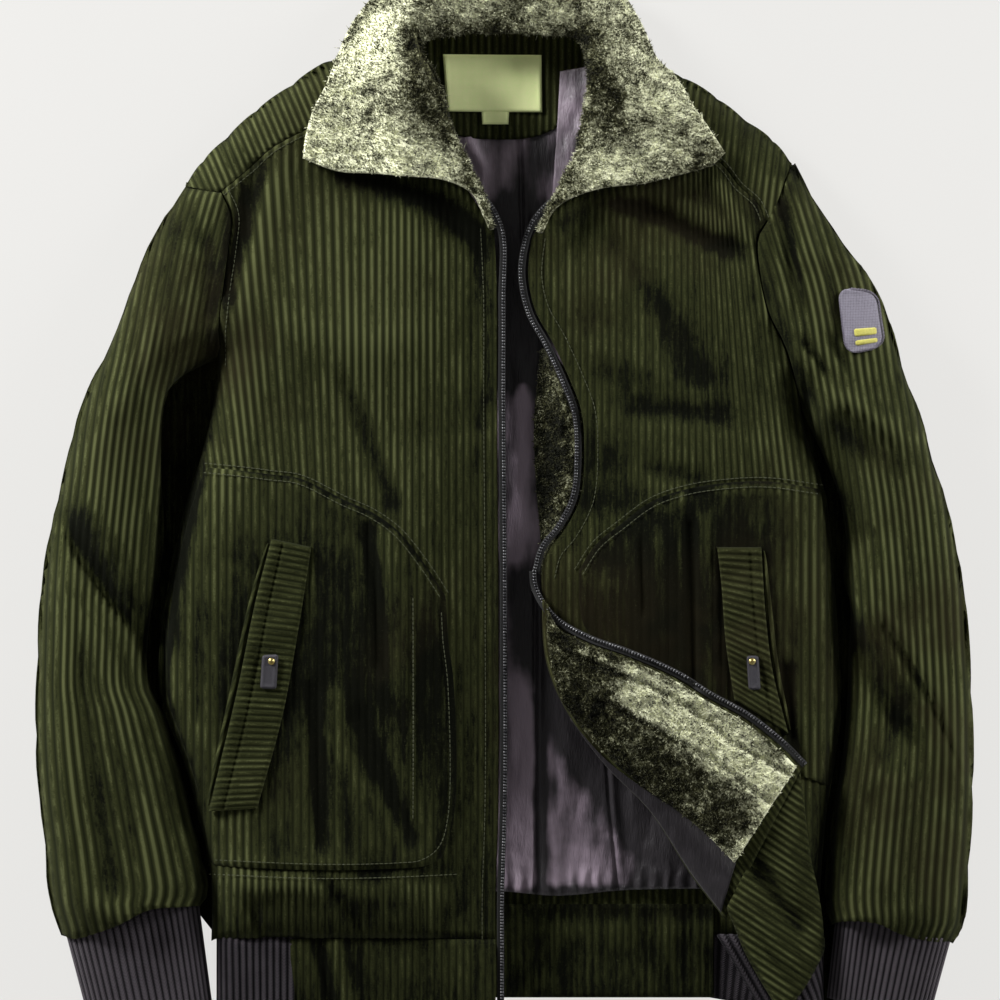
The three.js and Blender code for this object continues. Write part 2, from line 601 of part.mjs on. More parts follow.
// Facing that shows beside the curved zip edge, under the front
const facingUpper = patch({
  top: [[28, 105], [36, 108]],
  bottom: [[28, -52], [31, -52]],
  sides: [[[28, 105], [26, 81], [24, 60], [24, 35], [26, 0], [28, -24], [28, -52]],
    [[36, 108], [49, 84], [57, 62], [59, 34], [56, 1], [45, -21], [31, -52]]],
});
const FACING_INNER = 13; // its free edge; the other is sewn to the tape
const FACING_OUTER = EDGE_HEIGHT - TAPE - 3 * SEAM_GAP;
const facingRise = (x, y, across) => mix(FACING_INNER, FACING_OUTER, easeUp(across, 0, 0.85));
add("facing_left_upper", wall(gridOn(facingUpper, steps(3), steps(14), facingRise), PLUSH), plush);

// Zip tapes, from the collar to the hem, at the edge of each front. The left one turns over with the corner.
const TAPE_START = 7; // the tapes start short of the collar's tips
const tapeFoot = [[-3, WAIST], [-3, HEM_FRONT + 1]];
const tapePathRight = joined(reversed(collarEndRight.slice(0, TAPE_START)), zipRight, tapeFoot);
const tapePathLeft = joined(reversed(collarEndLeft.slice(0, TAPE_START)), zipLeft);
const TAPE_GAP = 0.9;
const CURVED_TAPE_GAP = 1.9;
function tape(path, side, gap, heightAt, count) {
  const near = curveThrough(beside(path, side * gap));
  const far = curveThrough(beside(path, side * (TAPE_WIDTH + gap)));
  return steps(count).map((t) => {
    const [ax, ay] = near(t);
    const [bx, by] = far(t);
    const z = heightAt(ax, ay, t);
    const row = [placed(ax, ay, z), placed(bx, by, z)];
    return side > 0 ? row : row.reverse();
  });
}
const underCollar = (y) => easeUp(y, 186, 200);
const onFront = (x, y) => mix(EDGE_HEIGHT - SEAM_GAP, bodyTop(x, y) + LAID_GAP + TAPE, underCollar(y));
const HEM_FALL = 4; // of the tape, over the waistband
const downToHem = (x, y) => onFront(x, y) - HEM_FALL * easeUp(-y, 300, 370);
const tapeRight = tape(tapePathRight, 1, TAPE_GAP, downToHem, 52);
const tapeLeft = tape(tapePathLeft, -1, CURVED_TAPE_GAP, onFront, 44);
const tapeTurned = tape(flapEdge, 1, TAPE_GAP, flapTop, 20);
add("zip_tape_right", wall(tapeRight, TAPE, { straightDown: true }), gunmetal);
add("zip_tape_left", wall(tapeLeft, TAPE, { straightDown: true }), gunmetal);
add("zip_tape_left_turned", wall(tapeTurned, TAPE, { straightDown: true }), gunmetal);

// Collar, opened flat: from the right front round the back neck to the left front
const collarShape = patch({
  top: collarOuter,
  bottom: collarInner,
  sides: [reversed(collarEndRight), reversed(collarEndLeft)],
});
function collarTop(x, y, across, down) {
  const fromInner = 1 - down;
  const behind = easeUp(y, 296, 322);
  const roll = 41 + 5 * Math.sin(Math.PI * clamp(fromInner * 1.1, 0, 1)) - 5 * (1 - round(fromInner, 0.25));
  const front = mix(roll, crest(bodyTop, x, y) + 2 * LAID_GAP + COLLAR_PLUSH, easeUp(fromInner, 0.45, 1));
  const rear = mix(mix(30, 40, round(fromInner, 0.5)), 16, easeUp(fromInner, 0.55, 1));
  return mix(front, rear, behind);
}
add("collar", wall(gridOn(collarShape, steps(32), nearEnds(6), collarTop), COLLAR_PLUSH), plush);

// Inside of the back: lining, neck facing and label
const LINING_TOP = CLOTH + SEAM_GAP + SATIN;
const WAVE = { height: 3, spread: 17, bend: 1.2, bendSpread: 70 };
function liningTop(x, y) {
  const wave = Math.sin(x / WAVE.spread + WAVE.bend * Math.sin(y / WAVE.bendSpread));
  return LINING_TOP + WAVE.height * Math.max(0, wave) * easeUp(-y, -60, 40);
}
const lining = patch({
  top: [[-175, 190], [0, 215], [172, 190]],
  bottom: [[-182, -272], [0, -276], [200, -272]],
  sides: [
    [[-175, 190], [-180, 60], [-200, -90], [-182, -272]],
    [[172, 190], [190, 60], [212, -90], [200, -272]],
  ],
});
const liningBack = gridOn(lining, steps(22), steps(8), liningTop);
add("lining_back", wall(liningBack, SATIN, { straightDown: true }), satin);
const facing = patch({
  top: [[-52, 303], [-30, 308], [0, 309], [30, 308], [50, 303]],
  bottom: [[-47, 258], [-10, 254], [30, 256], [44, 266]],
  sides: [[[-52, 303], [-47, 258]], [[50, 303], [44, 266]]],
});
const FACING_TOP = CLOTH + SEAM_GAP + CLOTH;
add("back_neck_facing", wall(gridOn(facing, steps(6), steps(4), () => FACING_TOP), CLOTH), cloth);
const LABEL = 0.8;
const labelTop = () => FACING_TOP + SEAM_GAP + LABEL;
const label = gridOn(box(-39, 307, 29, 272), steps(2), steps(2), labelTop);
const sizeTab = gridOn(box(-13, 271.6, 6, 263), steps(1), steps(1), labelTop);
add("neck_label", wall(label, LABEL), labelCloth);
add("size_tab", wall(sizeTab, LABEL), labelCloth);

// Waistband: right front, the left front's folded end, and the back
const bandTop = (x, y) => {
  const fall = easeUp(-y, -WAIST, -HEM_FRONT);
  const edge = easeUp(distanceTo([[-3, WAIST], [-3, HEM_FRONT]], x, y), 0, EDGE_EASE);
  return mix(mix(EDGE_HEIGHT, BAND_HEIGHT, edge), HEM_HEIGHT, fall);
};
const bandRight = patch({
  top: [[-147, WAIST - BAND_GAP], [-3, WAIST - BAND_GAP]],
  bottom: [[-147, HEM_FRONT], [-3, HEM_FRONT]],
  sides: [[[-147, WAIST - BAND_GAP], [-147, HEM_FRONT]], [[-3, WAIST - BAND_GAP], [-3, HEM_FRONT]]],
});
add("waistband_right", wall(gridOn(bandRight, steps(8), steps(4), bandTop), BAND), cloth);

const bandCrease = curveThrough([[157.6, -294.2], [172, -318], [190, -350], [197, -364]]);
const bandEnd = curveThrough([[212, -189.5], [217, -245], [226, -290], [228, -317]]);
const bandLeftTop = (x, y, across, down) => {
  const spread = mix(mix(37, 34, down), mix(46, 33, down), across);
  return Math.max(bodyTop(x, y) + 6, spread);
};
add("waistband_left", wall(turned(bandCrease, bandEnd, steps(6), steps(6), bandLeftTop), BAND - 1), cloth);

const bandBack = patch({
  top: [[150, WAIST - BAND_GAP], [-146, WAIST - BAND_GAP]],
  bottom: [[150, HEM_BACK], [-146, HEM_BACK]],
  sides: [[[150, WAIST - BAND_GAP], [150, HEM_BACK]], [[-146, WAIST - BAND_GAP], [-146, HEM_BACK]]],
});
add("waistband_back", wall(gridOn(bandBack, steps(8), steps(3), () => 0), BAND), cloth);

// Knit at the side of the waistband: from the front seam round the side and back underneath
function ribInsert({ frontTop, frontFoot, side, backSeam }) {
  const sign = Math.sign(side);
  const frontStretch = Math.abs(side - frontTop);
  const ribs = Math.round((2 * frontStretch + 24) / RIB_PITCH);
  const columns = 2 * ribs;
  return steps(2).map((down) => {
    const front = mix(frontTop, frontFoot, down);
    const yFront = mix(WAIST - BAND_GAP, HEM_FRONT + 2, down);
    const yBack = mix(WAIST - BAND_GAP, HEM_BACK, down);
    const high = mix(BAND_HEIGHT, HEM_HEIGHT, down);
    const radius = high / 2;
    const straight = Math.max(4, Math.abs(side - front) - radius);
    const under = Math.abs(side - backSeam) - radius;
    const roundLength = Math.PI * radius;
    const total = straight + roundLength + under;
    const row = steps(columns).map((t) => {
      const run = t * total;
      const y = mix(yFront, yBack, t);
      if (run < straight) return placed(front + sign * run, y, high);
      if (run < straight + roundLength) {
        const angle = (run - straight) / radius;
        const out = straight + radius * Math.sin(angle);
        return placed(front + sign * out, y, radius + radius * Math.cos(angle));
      }
      return placed(front + sign * (straight - (run - straight - roundLength)), y, 0);
    });
    return sign > 0 ? row : row.reverse();
  });
}
const ribRight = ribInsert({ frontTop: -148, frontFoot: -148, side: -198, backSeam: -147 });
const ribLeft = ribInsert({ frontTop: 175, frontFoot: 203, side: 226, backSeam: 151 });
const outsideRibs = (grid) => (i, j) => (grid[i][j].z > 1 ? ribRaise(j) : 0);
add("rib_insert_right", wall(ribRight, KNIT, { raise: outsideRibs(ribRight) }), knit);
add("rib_insert_left", wall(ribLeft, KNIT, { raise: outsideRibs(ribLeft) }), knit);

// Patch on the left upper arm: a rounded upright with a raised bar
const armPatch = box(238, 148, 266, 104);
const PATCH_TOP = LAID_GAP + SATIN;
const onSleeve = (x, y) => crest(sleeveTop, x, y) + PATCH_TOP;
add("arm_patch", wall(gridOn(armPatch, steps(6), steps(5), onSleeve), SATIN), patchCloth);

// Zip slider round the foot of the right tape, with its pull tab
const wasm = await Module();
wasm.setup();
function solid(geometry) {
  const plain = geometry.index ? geometry.toNonIndexed() : geometry;
  const raw = plain.getAttribute("position").array;
  const seen = new Map();
  const vertices = [];
  const triangles = [];
  for (let i = 0; i < raw.length; i += 3) {
    const key = [raw[i], raw[i + 1], raw[i + 2]].map((v) => Math.round(v * 1e4)).join();
    if (!seen.has(key)) {
      seen.set(key, vertices.length / 3);
      vertices.push(raw[i], raw[i + 1], raw[i + 2]);
    }
    triangles.push(seen.get(key));
  }
  return new wasm.Manifold(new wasm.Mesh({
    numProp: 3,
    vertProperties: new Float32Array(vertices),
    triVerts: new Uint32Array(triangles),
  }));
}
function geometryOf(made) {
  const mesh = made.getMesh();
  const geometry = new THREE.BufferGeometry();
  geometry.setAttribute("position", new THREE.Float32BufferAttribute(mesh.vertProperties, 3));
  geometry.setIndex([...mesh.triVerts]);
  return geometry;
}
const SLIDER = {
  length: 11,
  width: 8,
  plate: 1.2,
  middleX: 1.6,
  middleY: -355,
  archWidth: 2.4,
  archLength: 6.4,
  archHeight: 3.4,
  sink: 0.4, // of the arch into the plate
  overTape: 0.9,
  underTape: 1.1,
};
const tapeAtSlider = downToHem(-3, SLIDER.middleY);
const plateLow = tapeAtSlider + SLIDER.overTape;
const plateTop = plateLow + SLIDER.plate;
const underLow = tapeAtSlider - TAPE - SLIDER.underTape - SLIDER.plate;
const wallX = SLIDER.width / 2;
const archEnd = SLIDER.archLength / 2;
const archMiddle = plateTop - SLIDER.sink + SLIDER.archHeight / 2;
const atSlider = (width, length, height, x, y, z) =>
  new THREE.BoxGeometry(width, length, height).translate(SLIDER.middleX + x, SLIDER.middleY + y, z);
const sliderPieces = [
  atSlider(SLIDER.width, SLIDER.length, SLIDER.plate, 0, 0, plateLow + SLIDER.plate / 2),
  atSlider(SLIDER.width, SLIDER.length, SLIDER.plate, 0, 0, underLow + SLIDER.plate / 2),
  atSlider(SLIDER.plate, SLIDER.length, plateTop - underLow, wallX, 0, (plateTop + underLow) / 2),
  atSlider(SLIDER.archWidth, 1, SLIDER.archHeight, 0, archEnd, archMiddle),
  atSlider(SLIDER.archWidth, 1, SLIDER.archHeight, 0, -archEnd, archMiddle),
  atSlider(SLIDER.archWidth, SLIDER.archLength + 1, 1, 0, 0, plateTop + SLIDER.archHeight - SLIDER.sink),
];
const slider = sliderPieces.map(solid).reduce((whole, piece) => whole.add(piece));
add("zip_slider", geometryOf(slider), gunmetal);

const PULL = { thickness: 1, half: 3, reach: 20, corner: 2, holeHalf: 1.6, barHalf: 0.5, holeEnd: 4.9 };
const PIVOT_OVER_PLATE = 1.3;
const pivotHeight = plateTop + PIVOT_OVER_PLATE;
const pullShape = new THREE.Shape();
pullShape.moveTo(-PULL.half, PULL.barHalf);
pullShape.lineTo(-PULL.half, -PULL.reach + PULL.corner);
pullShape.quadraticCurveTo(-PULL.half, -PULL.reach, 0, -PULL.reach);
pullShape.quadraticCurveTo(PULL.half, -PULL.reach, PULL.half, -PULL.reach + PULL.corner);
pullShape.lineTo(PULL.half, PULL.barHalf);
pullShape.closePath();
const pullHole = new THREE.Path();
pullHole.moveTo(-PULL.holeHalf, -PULL.barHalf);
pullHole.lineTo(-PULL.holeHalf, -PULL.holeEnd);
pullHole.lineTo(PULL.holeHalf, -PULL.holeEnd);
pullHole.lineTo(PULL.holeHalf, -PULL.barHalf);
pullHole.closePath();
pullShape.holes.push(pullHole);
const pullPlate = { depth: PULL.thickness, bevelEnabled: false, curveSegments: 6 };
const pull = add("zip_pull_tab", new THREE.ExtrudeGeometry(pullShape, pullPlate), gunmetal);
pull.position.set(SLIDER.middleX, SLIDER.middleY, pivotHeight - PULL.thickness / 2);

// The origin is on the floor under the middle of the whole
jacket.updateMatrixWorld(true);
const bounds = new THREE.Box3().setFromObject(jacket, true);
const middle = bounds.getCenter(new THREE.Vector3());
jacket.position.set(-middle.x, -middle.y, -bounds.min.z);

export default jacket;
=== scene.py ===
import math

import bpy
import numpy as np
from bpy.props import FloatProperty, FloatVectorProperty, PointerProperty
from bpy.types import Operator, Panel, PropertyGroup
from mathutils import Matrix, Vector


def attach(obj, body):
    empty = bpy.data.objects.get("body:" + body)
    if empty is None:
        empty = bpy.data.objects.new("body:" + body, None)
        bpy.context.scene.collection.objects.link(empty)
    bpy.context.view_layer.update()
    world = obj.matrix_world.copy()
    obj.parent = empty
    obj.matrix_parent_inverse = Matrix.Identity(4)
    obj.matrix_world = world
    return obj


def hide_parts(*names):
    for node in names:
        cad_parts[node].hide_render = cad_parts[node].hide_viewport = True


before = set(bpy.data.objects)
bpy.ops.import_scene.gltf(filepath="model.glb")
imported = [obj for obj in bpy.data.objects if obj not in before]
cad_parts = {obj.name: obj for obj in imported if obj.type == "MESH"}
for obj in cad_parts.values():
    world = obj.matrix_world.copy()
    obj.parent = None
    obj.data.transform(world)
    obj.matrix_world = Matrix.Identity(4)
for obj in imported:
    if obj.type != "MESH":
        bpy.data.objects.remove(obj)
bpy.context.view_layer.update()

bl_info = {
    "name": "Corduroy Jacket",
    "version": (1, 0, 0),
    "blender": (4, 5, 0),
    "location": "View3D > Sidebar > Jacket",
    "description": "Builds a lined corduroy jacket, laid flat, round its packed solids",
    "category": "Object",
}

# Millimetres, as seen from VIEW_HEIGHT over the middle of the picture, +X to the viewer's right, +Y to the collar.
# Right and left are the wearer's, so the right side has negative X.
VIEW_HEIGHT = 2200
SHIFT = np.array([-2.993, 0.368])  # from the drawing's middle to the frame's origin
PIXEL = 0.70

BODY_HEIGHT = 39
SHOULDER_HEIGHT = 31
SLEEVE_HEIGHT = 43
CUFF_HEIGHT = 31
BAND_HEIGHT = 27
HEM_HEIGHT = 21
EDGE_HEIGHT = 24
EDGE_EASE = 70
SIDE_HEIGHT = 12
SIDE_ROUND = 30
BACK_ROUND = 12
FLAP_LIFT = 8
CREASE_ROUND = 5
HEM_FRONT = -372
HEM_BACK = -348
WAIST = -307

armhole_right = [(-220, 220), (-207, 218), (-195, 216), (-188, 200), (-190, 175), (-194, 147), (-197, 119), (-197, 100)]
armhole_left = [(204, 235), (195, 214), (186, 195), (180, 184), (181, 161), (188, 130), (197, 112), (203, 95), (210, 68)]
side_right = [(-197, 100), (-200, 72), (-207, 40), (-214, 15), (-225, -26), (-232, -62), (-236, -92), (-236, -140),
              (-228, -165), (-218, -194), (-211, -223), (-204, -252), (-202, -274), (-202, -307)]
side_left = [(210, 68), (213, 50), (218, 33), (225, 11), (230, -17), (233, -48), (235, -74), (237, -110), (238, -140),
             (235, -175), (230, -210), (226, -245), (224, -280), (223, -307)]
outer_right = [(-220, 220), (-242, 183), (-254, 156), (-274, 106), (-290, 71), (-299, 42), (-309, 0), (-314, -22),
               (-320, -62), (-323, -111), (-324, -165), (-322, -205), (-318, -241), (-314, -279), (-307, -303)]
outer_left = [(204, 235), (216, 216), (230, 195), (244, 174), (258, 154), (271, 127), (283, 88), (295, 55), (302, 29),
              (312, -3), (319, -35), (324, -65), (329, -134), (330, -201), (327, -257), (323, -297), (317, -309)]
inner_right = [(-199, 98), (-217, 90), (-231, 78), (-236, 60), (-237, 14), (-238, -42), (-243, -72), (-247, -108),
               (-245, -130), (-238, -146), (-231, -168), (-223, -196), (-216, -225), (-209, -254), (-206, -274),
               (-210, -284)]
inner_left = [(212, 67), (219, 48), (228, 27), (238, 0), (242, -29), (242, -57), (245, -75), (244, -105), (243, -140),
              (240, -175), (235, -210), (231, -245), (229, -280), (232, -296)]
shoulder_right = [(-72, 316), (-117, 307), (-145, 290), (-170, 272), (-191, 253), (-207, 237), (-220, 220)]
shoulder_left = [(72, 315), (127, 295), (152, 280), (172, 265), (190, 251), (204, 235)]
yoke_seam_right = [(-66, 291), (-105, 274), (-134, 260), (-160, 246), (-173, 234), (-185, 224), (-195, 216)]
yoke_seam_left = [(70, 291), (112, 263), (154, 236), (167, 220), (180, 208), (186, 195)]
neck_right = [(-66, 291), (-52, 267), (-36, 239), (-20, 213), (-4, 189)]
neck_left = [(70, 291), (62, 270), (50, 235), (35, 205), (22, 183)]
zip_right = [(-4, 189), (-2, 140), (-2, 70), (-1, -70), (-1, -210), (-3, -280), (-3, WAIST)]
zip_left = [(22, 183), (20, 167), (20, 153), (25, 132), (36, 112), (49, 84), (57, 62), (59, 34), (56, 1), (45, -21),
            (34, -35), (29, -52)]
crease = [(29, -56), (32, -112), (46, -147), (74, -186), (105, -218), (134, -263), (157, -293)]
crease_foot = [(157, -293), (167, -309)]
flap_edge = [(31, -62), (39, -87), (61, -100), (89, -110), (123, -125), (145, -139), (172, -154), (195, -172),
             (211, -188)]
collar_inner = [(-3, 190), (-11, 216), (-27, 241), (-33, 257), (-37, 271), (-49, 285), (-59, 314), (-50, 321),
                (-25, 325), (0, 326), (30, 325), (55, 320), (61, 290), (56, 265), (52, 241), (36, 211), (25, 188)]
collar_outer = [(-138, 240), (-136, 256), (-131, 273), (-122, 291), (-108, 326), (-98, 342), (-84, 356), (-50, 370),
                (0, 377), (50, 371), (84, 356), (98, 336), (111, 309), (125, 295), (134, 279), (143, 266), (158, 243)]
collar_end_right = [(-3, 190), (-17, 213), (-27, 220), (-42, 225), (-71, 227), (-91, 229), (-111, 230), (-125, 234),
                    (-138, 240)]
collar_end_left = [(25, 188), (34, 201), (46, 210), (69, 218), (104, 223), (122, 227), (140, 232), (150, 236),
                   (158, 243)]


def seen(*pixels):
    """Points of the picture's grid, as millimetres of the drawing."""
    return [((x - 500) * PIXEL, (500 - y) * PIXEL) for x, y in pixels]


# Folds: points, half width, and how far the cloth stands up there or sinks
BODY_FOLDS = [
    (((-180, 150), (-90, 110)), 26, 2.5),
    (((-150, 60), (-60, 40)), 24, -2),
    (((-190, -262), (-110, -270)), 16, 3.5),
    (((105, 203), (165, 172)), 18, -3),
    (((70, 60), (190, 30)), 26, 2),
]
SLEEVE_FOLDS = [
    (((-309, -10), (-250, -112)), 13, -11),
    (((-300, -62), (-232, -160)), 20, 6),
    (((-232, -160), (-216, -265)), 16, 4),
    (((-280, 60), (-262, -20)), 18, 3),
    (((226, 68), (300, 42)), 15, 6),
    (((232, 36), (252, -24)), 15, -14),
    (((246, -72), (326, -192)), 12, 6),
    (((252, -105), (282, -160)), 20, -11),
    (((206, 212), (216, 175)), 10, 4),
]
# Smaller folds and dents that only the cloth has
BODY_DENTS = [
    (seen((621, 204), (666, 217), (710, 242), (742, 249)), 6, -3.0),
    (seen((621, 190), (680, 205), (730, 228)), 7, 1.6),
    (seen((621, 246), (653, 303), (691, 354), (698, 380)), 13, -2.2),
    (seen((600, 345), (640, 362), (690, 392)), 13, 1.8),
    (seen((640, 408), (680, 410), (725, 416)), 8, -2.0),
    (seen((655, 468), (700, 478)), 7, -1.8),
    (seen((715, 175), (738, 223), (757, 266), (768, 315)), 5, 2.2),
    (seen((690, 522), (692, 600), (694, 684)), 4, -3.2),
    (seen((706, 520), (708, 600), (706, 690)), 7, 1.4),
    (seen((642, 545), (644, 612)), 4, -2.4),
    (seen((660, 540), (662, 640)), 7, 1.2),
    (seen((786, 670), (789, 730), (800, 760)), 6, -3.0),
    (seen((810, 520), (815, 620), (812, 720)), 8, 1.8),
    (seen((255, 170), (246, 230), (230, 290)), 9, -4.5),
    (seen((285, 165), (262, 230), (243, 300), (230, 350)), 9, 1.5),
    (seen((345, 385), (365, 430), (392, 500)), 8, -2.4),
    (seen((300, 330), (360, 345), (420, 335)), 16, 1.6),
    (seen((430, 290), (440, 350), (425, 420)), 18, -1.8),
    (seen((367, 532), (376, 600), (380, 665)), 5, -2.6),
    (seen((388, 540), (398, 620), (400, 690)), 9, 1.4),
    (seen((313, 691), (318, 760), (323, 846)), 6, -2.6),
    (seen((360, 717), (384, 775), (410, 836)), 7, -2.4),
    (seen((335, 700), (350, 770), (372, 840)), 9, 1.8),
    (seen((236, 884), (258, 890), (290, 884), (319, 886)), 7, 3.0),
    (seen((252, 908), (258, 928), (268, 938), (296, 940)), 5, -4.0),
    (seen((319, 879), (340, 900), (360, 928)), 5, -3.0),
    (seen((372, 890), (400, 884), (440, 892)), 9, 1.6),
    (seen((200, 560), (196, 640), (196, 720)), 6, -1.8),
    (seen((206, 790), (204, 830), (203, 870)), 5, -3.0),
    (seen((480, 260), (470, 330), (478, 420)), 8, -1.4),
]
SLEEVE_DENTS = [
    (seen((186, 215), (205, 245), (212, 300), (200, 350)), 10, -3.5),
    (seen((222, 192), (196, 220), (172, 262)), 9, 1.6),
    (seen((150, 330), (152, 400), (154, 470), (155, 540)), 5, 2.2),
    (seen((136, 340), (138, 420), (142, 500)), 6, -1.8),
    (seen((150, 300), (170, 262), (185, 240)), 10, -2.0),
    (seen((110, 408), (96, 440), (76, 470)), 10, 1.8),
    (seen((118, 430), (128, 500), (120, 560)), 9, -2.0),
    (seen((60, 540), (64, 640), (62, 740), (70, 840)), 8, 1.6),
    (seen((80, 600), (84, 700), (98, 800), (110, 880)), 8, -1.6),
    (seen((120, 700), (140, 760), (150, 830), (152, 890)), 9, 1.8),
    (seen((150, 740), (168, 790), (174, 850), (176, 895)), 8, -1.8),
    (seen((56, 860), (90, 905), (120, 915)), 8, 2.0),
    (seen((797, 182), (808, 230), (816, 290), (822, 330)), 6, 3.0),
    (seen((781, 190), (790, 250), (796, 310)), 5, -2.6),
    (seen((822, 210), (834, 260), (842, 330)), 8, -2.2),
    (seen((797, 350), (812, 366)), 4, 2.4),
    (seen((806, 345), (826, 372)), 3, -2.2),
    (seen((818, 340), (838, 372)), 4, 2.2),
    (seen((828, 336), (846, 366)), 3, -1.8),
    (seen((880, 360), (900, 400), (918, 420)), 10, -2.4),
    (seen((900, 470), (915, 540), (925, 610)), 12, -1.8),
    (seen((880, 470), (884, 540), (896, 590)), 10, 1.6),
    (seen((900, 740), (890, 820), (886, 880)), 8, 2.2),
    (seen((925, 740), (925, 820), (918, 900)), 9, -1.6),
    (seen((868, 800), (858, 850), (852, 900)), 8, -2.2),
]
# Creases: the cloth on the left of their way stands over the cloth on their right. Depth, and how wide the low side is.
SLEEVE_CREASES = [
    (seen((170, 735), (150, 676), (130, 639), (106, 608), (78, 570), (58, 524)), 8.0, 17),
    (seen((824, 418), (844, 404), (868, 420), (886, 437), (918, 442)), 4.5, 12),
    (seen((850, 598), (884, 620), (910, 652), (936, 700), (956, 748), (968, 782)), 5.0, 14),
]


def ease(t):
    t = np.clip(t, 0, 1)
    return t * t * (3 - 2 * t)


def ease_up(value, low, high):
    return ease((np.asarray(value, float) - low) / (high - low))


def mix(a, b, t):
    return a + (b - a) * t


def quarter_round(distance, radius):
    return np.sqrt(1 - (1 - np.clip(distance / radius, 0, 1)) ** 2)


def smooth_line(points, steps=16):
    """A centripetal curve through the points, as a fine run of points."""
    p = np.array(points, float)
    p = np.vstack([2 * p[0] - p[1], p, 2 * p[-1] - p[-2]])
    gaps = np.maximum(np.sqrt(np.linalg.norm(np.diff(p, axis=0), axis=1)), 1e-4)
    out = []
    for i in range(1, len(p) - 2):
        a, b, c, d = p[i - 1:i + 3]
        g0, g1, g2 = gaps[i - 1:i + 2]
        m1 = ((b - a) / g0 - (c - a) / (g0 + g1) + (c - b) / g1) * g1
        m2 = ((c - b) / g1 - (d - b) / (g1 + g2) + (d - c) / g2) * g1
        t = np.arange(steps)[:, None] / steps
        out.append(b + m1 * t + (-3 * b + 3 * c - 2 * m1 - m2) * t ** 2 + (2 * b - 2 * c + m1 + m2) * t ** 3)
    return np.vstack([*out, p[-2:-1]])


def runner(points):
    """A function of 0 to 1 along a smooth curve through the points, by length."""
    line = smooth_line(points)
    run = np.concatenate([[0], np.cumsum(np.linalg.norm(np.diff(line, axis=0), axis=1))])
    run /= run[-1]
    return lambda t: np.stack([np.interp(t, run, line[:, 0]), np.interp(t, run, line[:, 1])], -1)


def length_of(points):
    return float(np.linalg.norm(np.diff(smooth_line(points), axis=0), axis=1).sum())


def distance(outline, x, y):
    best = np.full(np.shape(x), 1e9)
    for (x0, y0), (x1, y1) in zip(outline, outline[1:]):
        dx, dy = x1 - x0, y1 - y0
        t = np.clip(((x - x0) * dx + (y - y0) * dy) / (dx * dx + dy * dy + 1e-9), 0, 1)
        best = np.minimum(best, np.hypot(x - x0 - dx * t, y - y0 - dy * t))
    return best


def beside(outline, x, y):
    """Distance to a run, positive on the left of its way, and the share of it where that is."""
    best, side, share = np.full(np.shape(x), 1e9), np.ones(np.shape(x)), np.zeros(np.shape(x))
    count = len(outline) - 1
    for i, ((x0, y0), (x1, y1)) in enumerate(zip(outline, outline[1:])):
        dx, dy = x1 - x0, y1 - y0
        t = np.clip(((x - x0) * dx + (y - y0) * dy) / (dx * dx + dy * dy + 1e-9), 0, 1)
        d = np.hypot(x - x0 - dx * t, y - y0 - dy * t)
        near = d < best
        best = np.where(near, d, best)
        side = np.where(near, np.sign(dx * (y - y0) - dy * (x - x0)), side)
        share = np.where(near, (i + t) / count, share)
    return best * side, share


def nearest(outlines, x, y):
    return np.minimum.reduce([distance(outline, x, y) for outline in outlines])


def folds(rows, x, y):
    total = np.zeros(np.shape(x))
    for points, half, rise in rows:
        total += rise * np.exp(-(distance(points, x, y) / half) ** 2)
    return total


def creases(rows, x, y):
    total = np.zeros(np.shape(x))
    for points, depth, width in rows:
        side, share = beside(points, x, y)
        ends = np.sin(np.pi * np.clip(share, 0.02, 0.98)) ** 0.5
        low = -depth * np.exp(-np.maximum(-side, 0) / width) * ease_up(-side, -0.5, 3)
        high = 0.35 * depth * np.exp(-(np.maximum(side, 0) / width) ** 2) * ease_up(side, -3, 0.5)
        total += ends * (low + high)
    return total


BODY_RIMS = [side_right, side_left, outer_right, outer_left, shoulder_right, shoulder_left]
SLEEVE_RIMS = [inner_right, inner_left, outer_right, outer_left, shoulder_right, shoulder_left]
FRONT_EDGES = [zip_right, zip_left + crease[1:] + crease_foot[1:]]


def body_top(x, y):
    rim = quarter_round(nearest(BODY_RIMS, x, y), SIDE_ROUND)
    chest = mix(BODY_HEIGHT, SHOULDER_HEIGHT, ease_up(y, 90, 240))
    blouse = mix(BAND_HEIGHT + 1, chest, quarter_round(y - WAIST, 34))
    flat = mix(EDGE_HEIGHT, blouse, ease_up(nearest(FRONT_EDGES, x, y), 0, EDGE_EASE))
    bumps = folds(BODY_FOLDS, x, y) + folds(BODY_DENTS, x, y)
    return SIDE_HEIGHT + (flat - SIDE_HEIGHT + bumps) * rim


def sleeve_top(x, y):
    rim = quarter_round(nearest(SLEEVE_RIMS, x, y), SIDE_ROUND)
    arm = mix(SLEEVE_HEIGHT, SHOULDER_HEIGHT, ease_up(y, 90, 240))
    foot = mix(CUFF_HEIGHT + 1, arm, quarter_round(y + 302 + 0.22 * np.maximum(0, 300 - np.abs(x)), 26))
    bumps = folds(SLEEVE_FOLDS, x, y) + folds(SLEEVE_DENTS, x, y) + creases(SLEEVE_CREASES, x, y)
    return SIDE_HEIGHT + (foot - SIDE_HEIGHT + bumps) * rim


def underside(rims, x, y):
    return SIDE_HEIGHT * (1 - quarter_round(nearest(rims, x, y), BACK_ROUND))


def placed(x, y, z):
    """True places in the frame, in millimetres, of points drawn as seen from above."""
    x, y, z = np.broadcast_arrays(x, y, z)
    k = (VIEW_HEIGHT - z) / VIEW_HEIGHT
    return np.stack([x * k + SHIFT[0], y * k + SHIFT[1], z], -1)


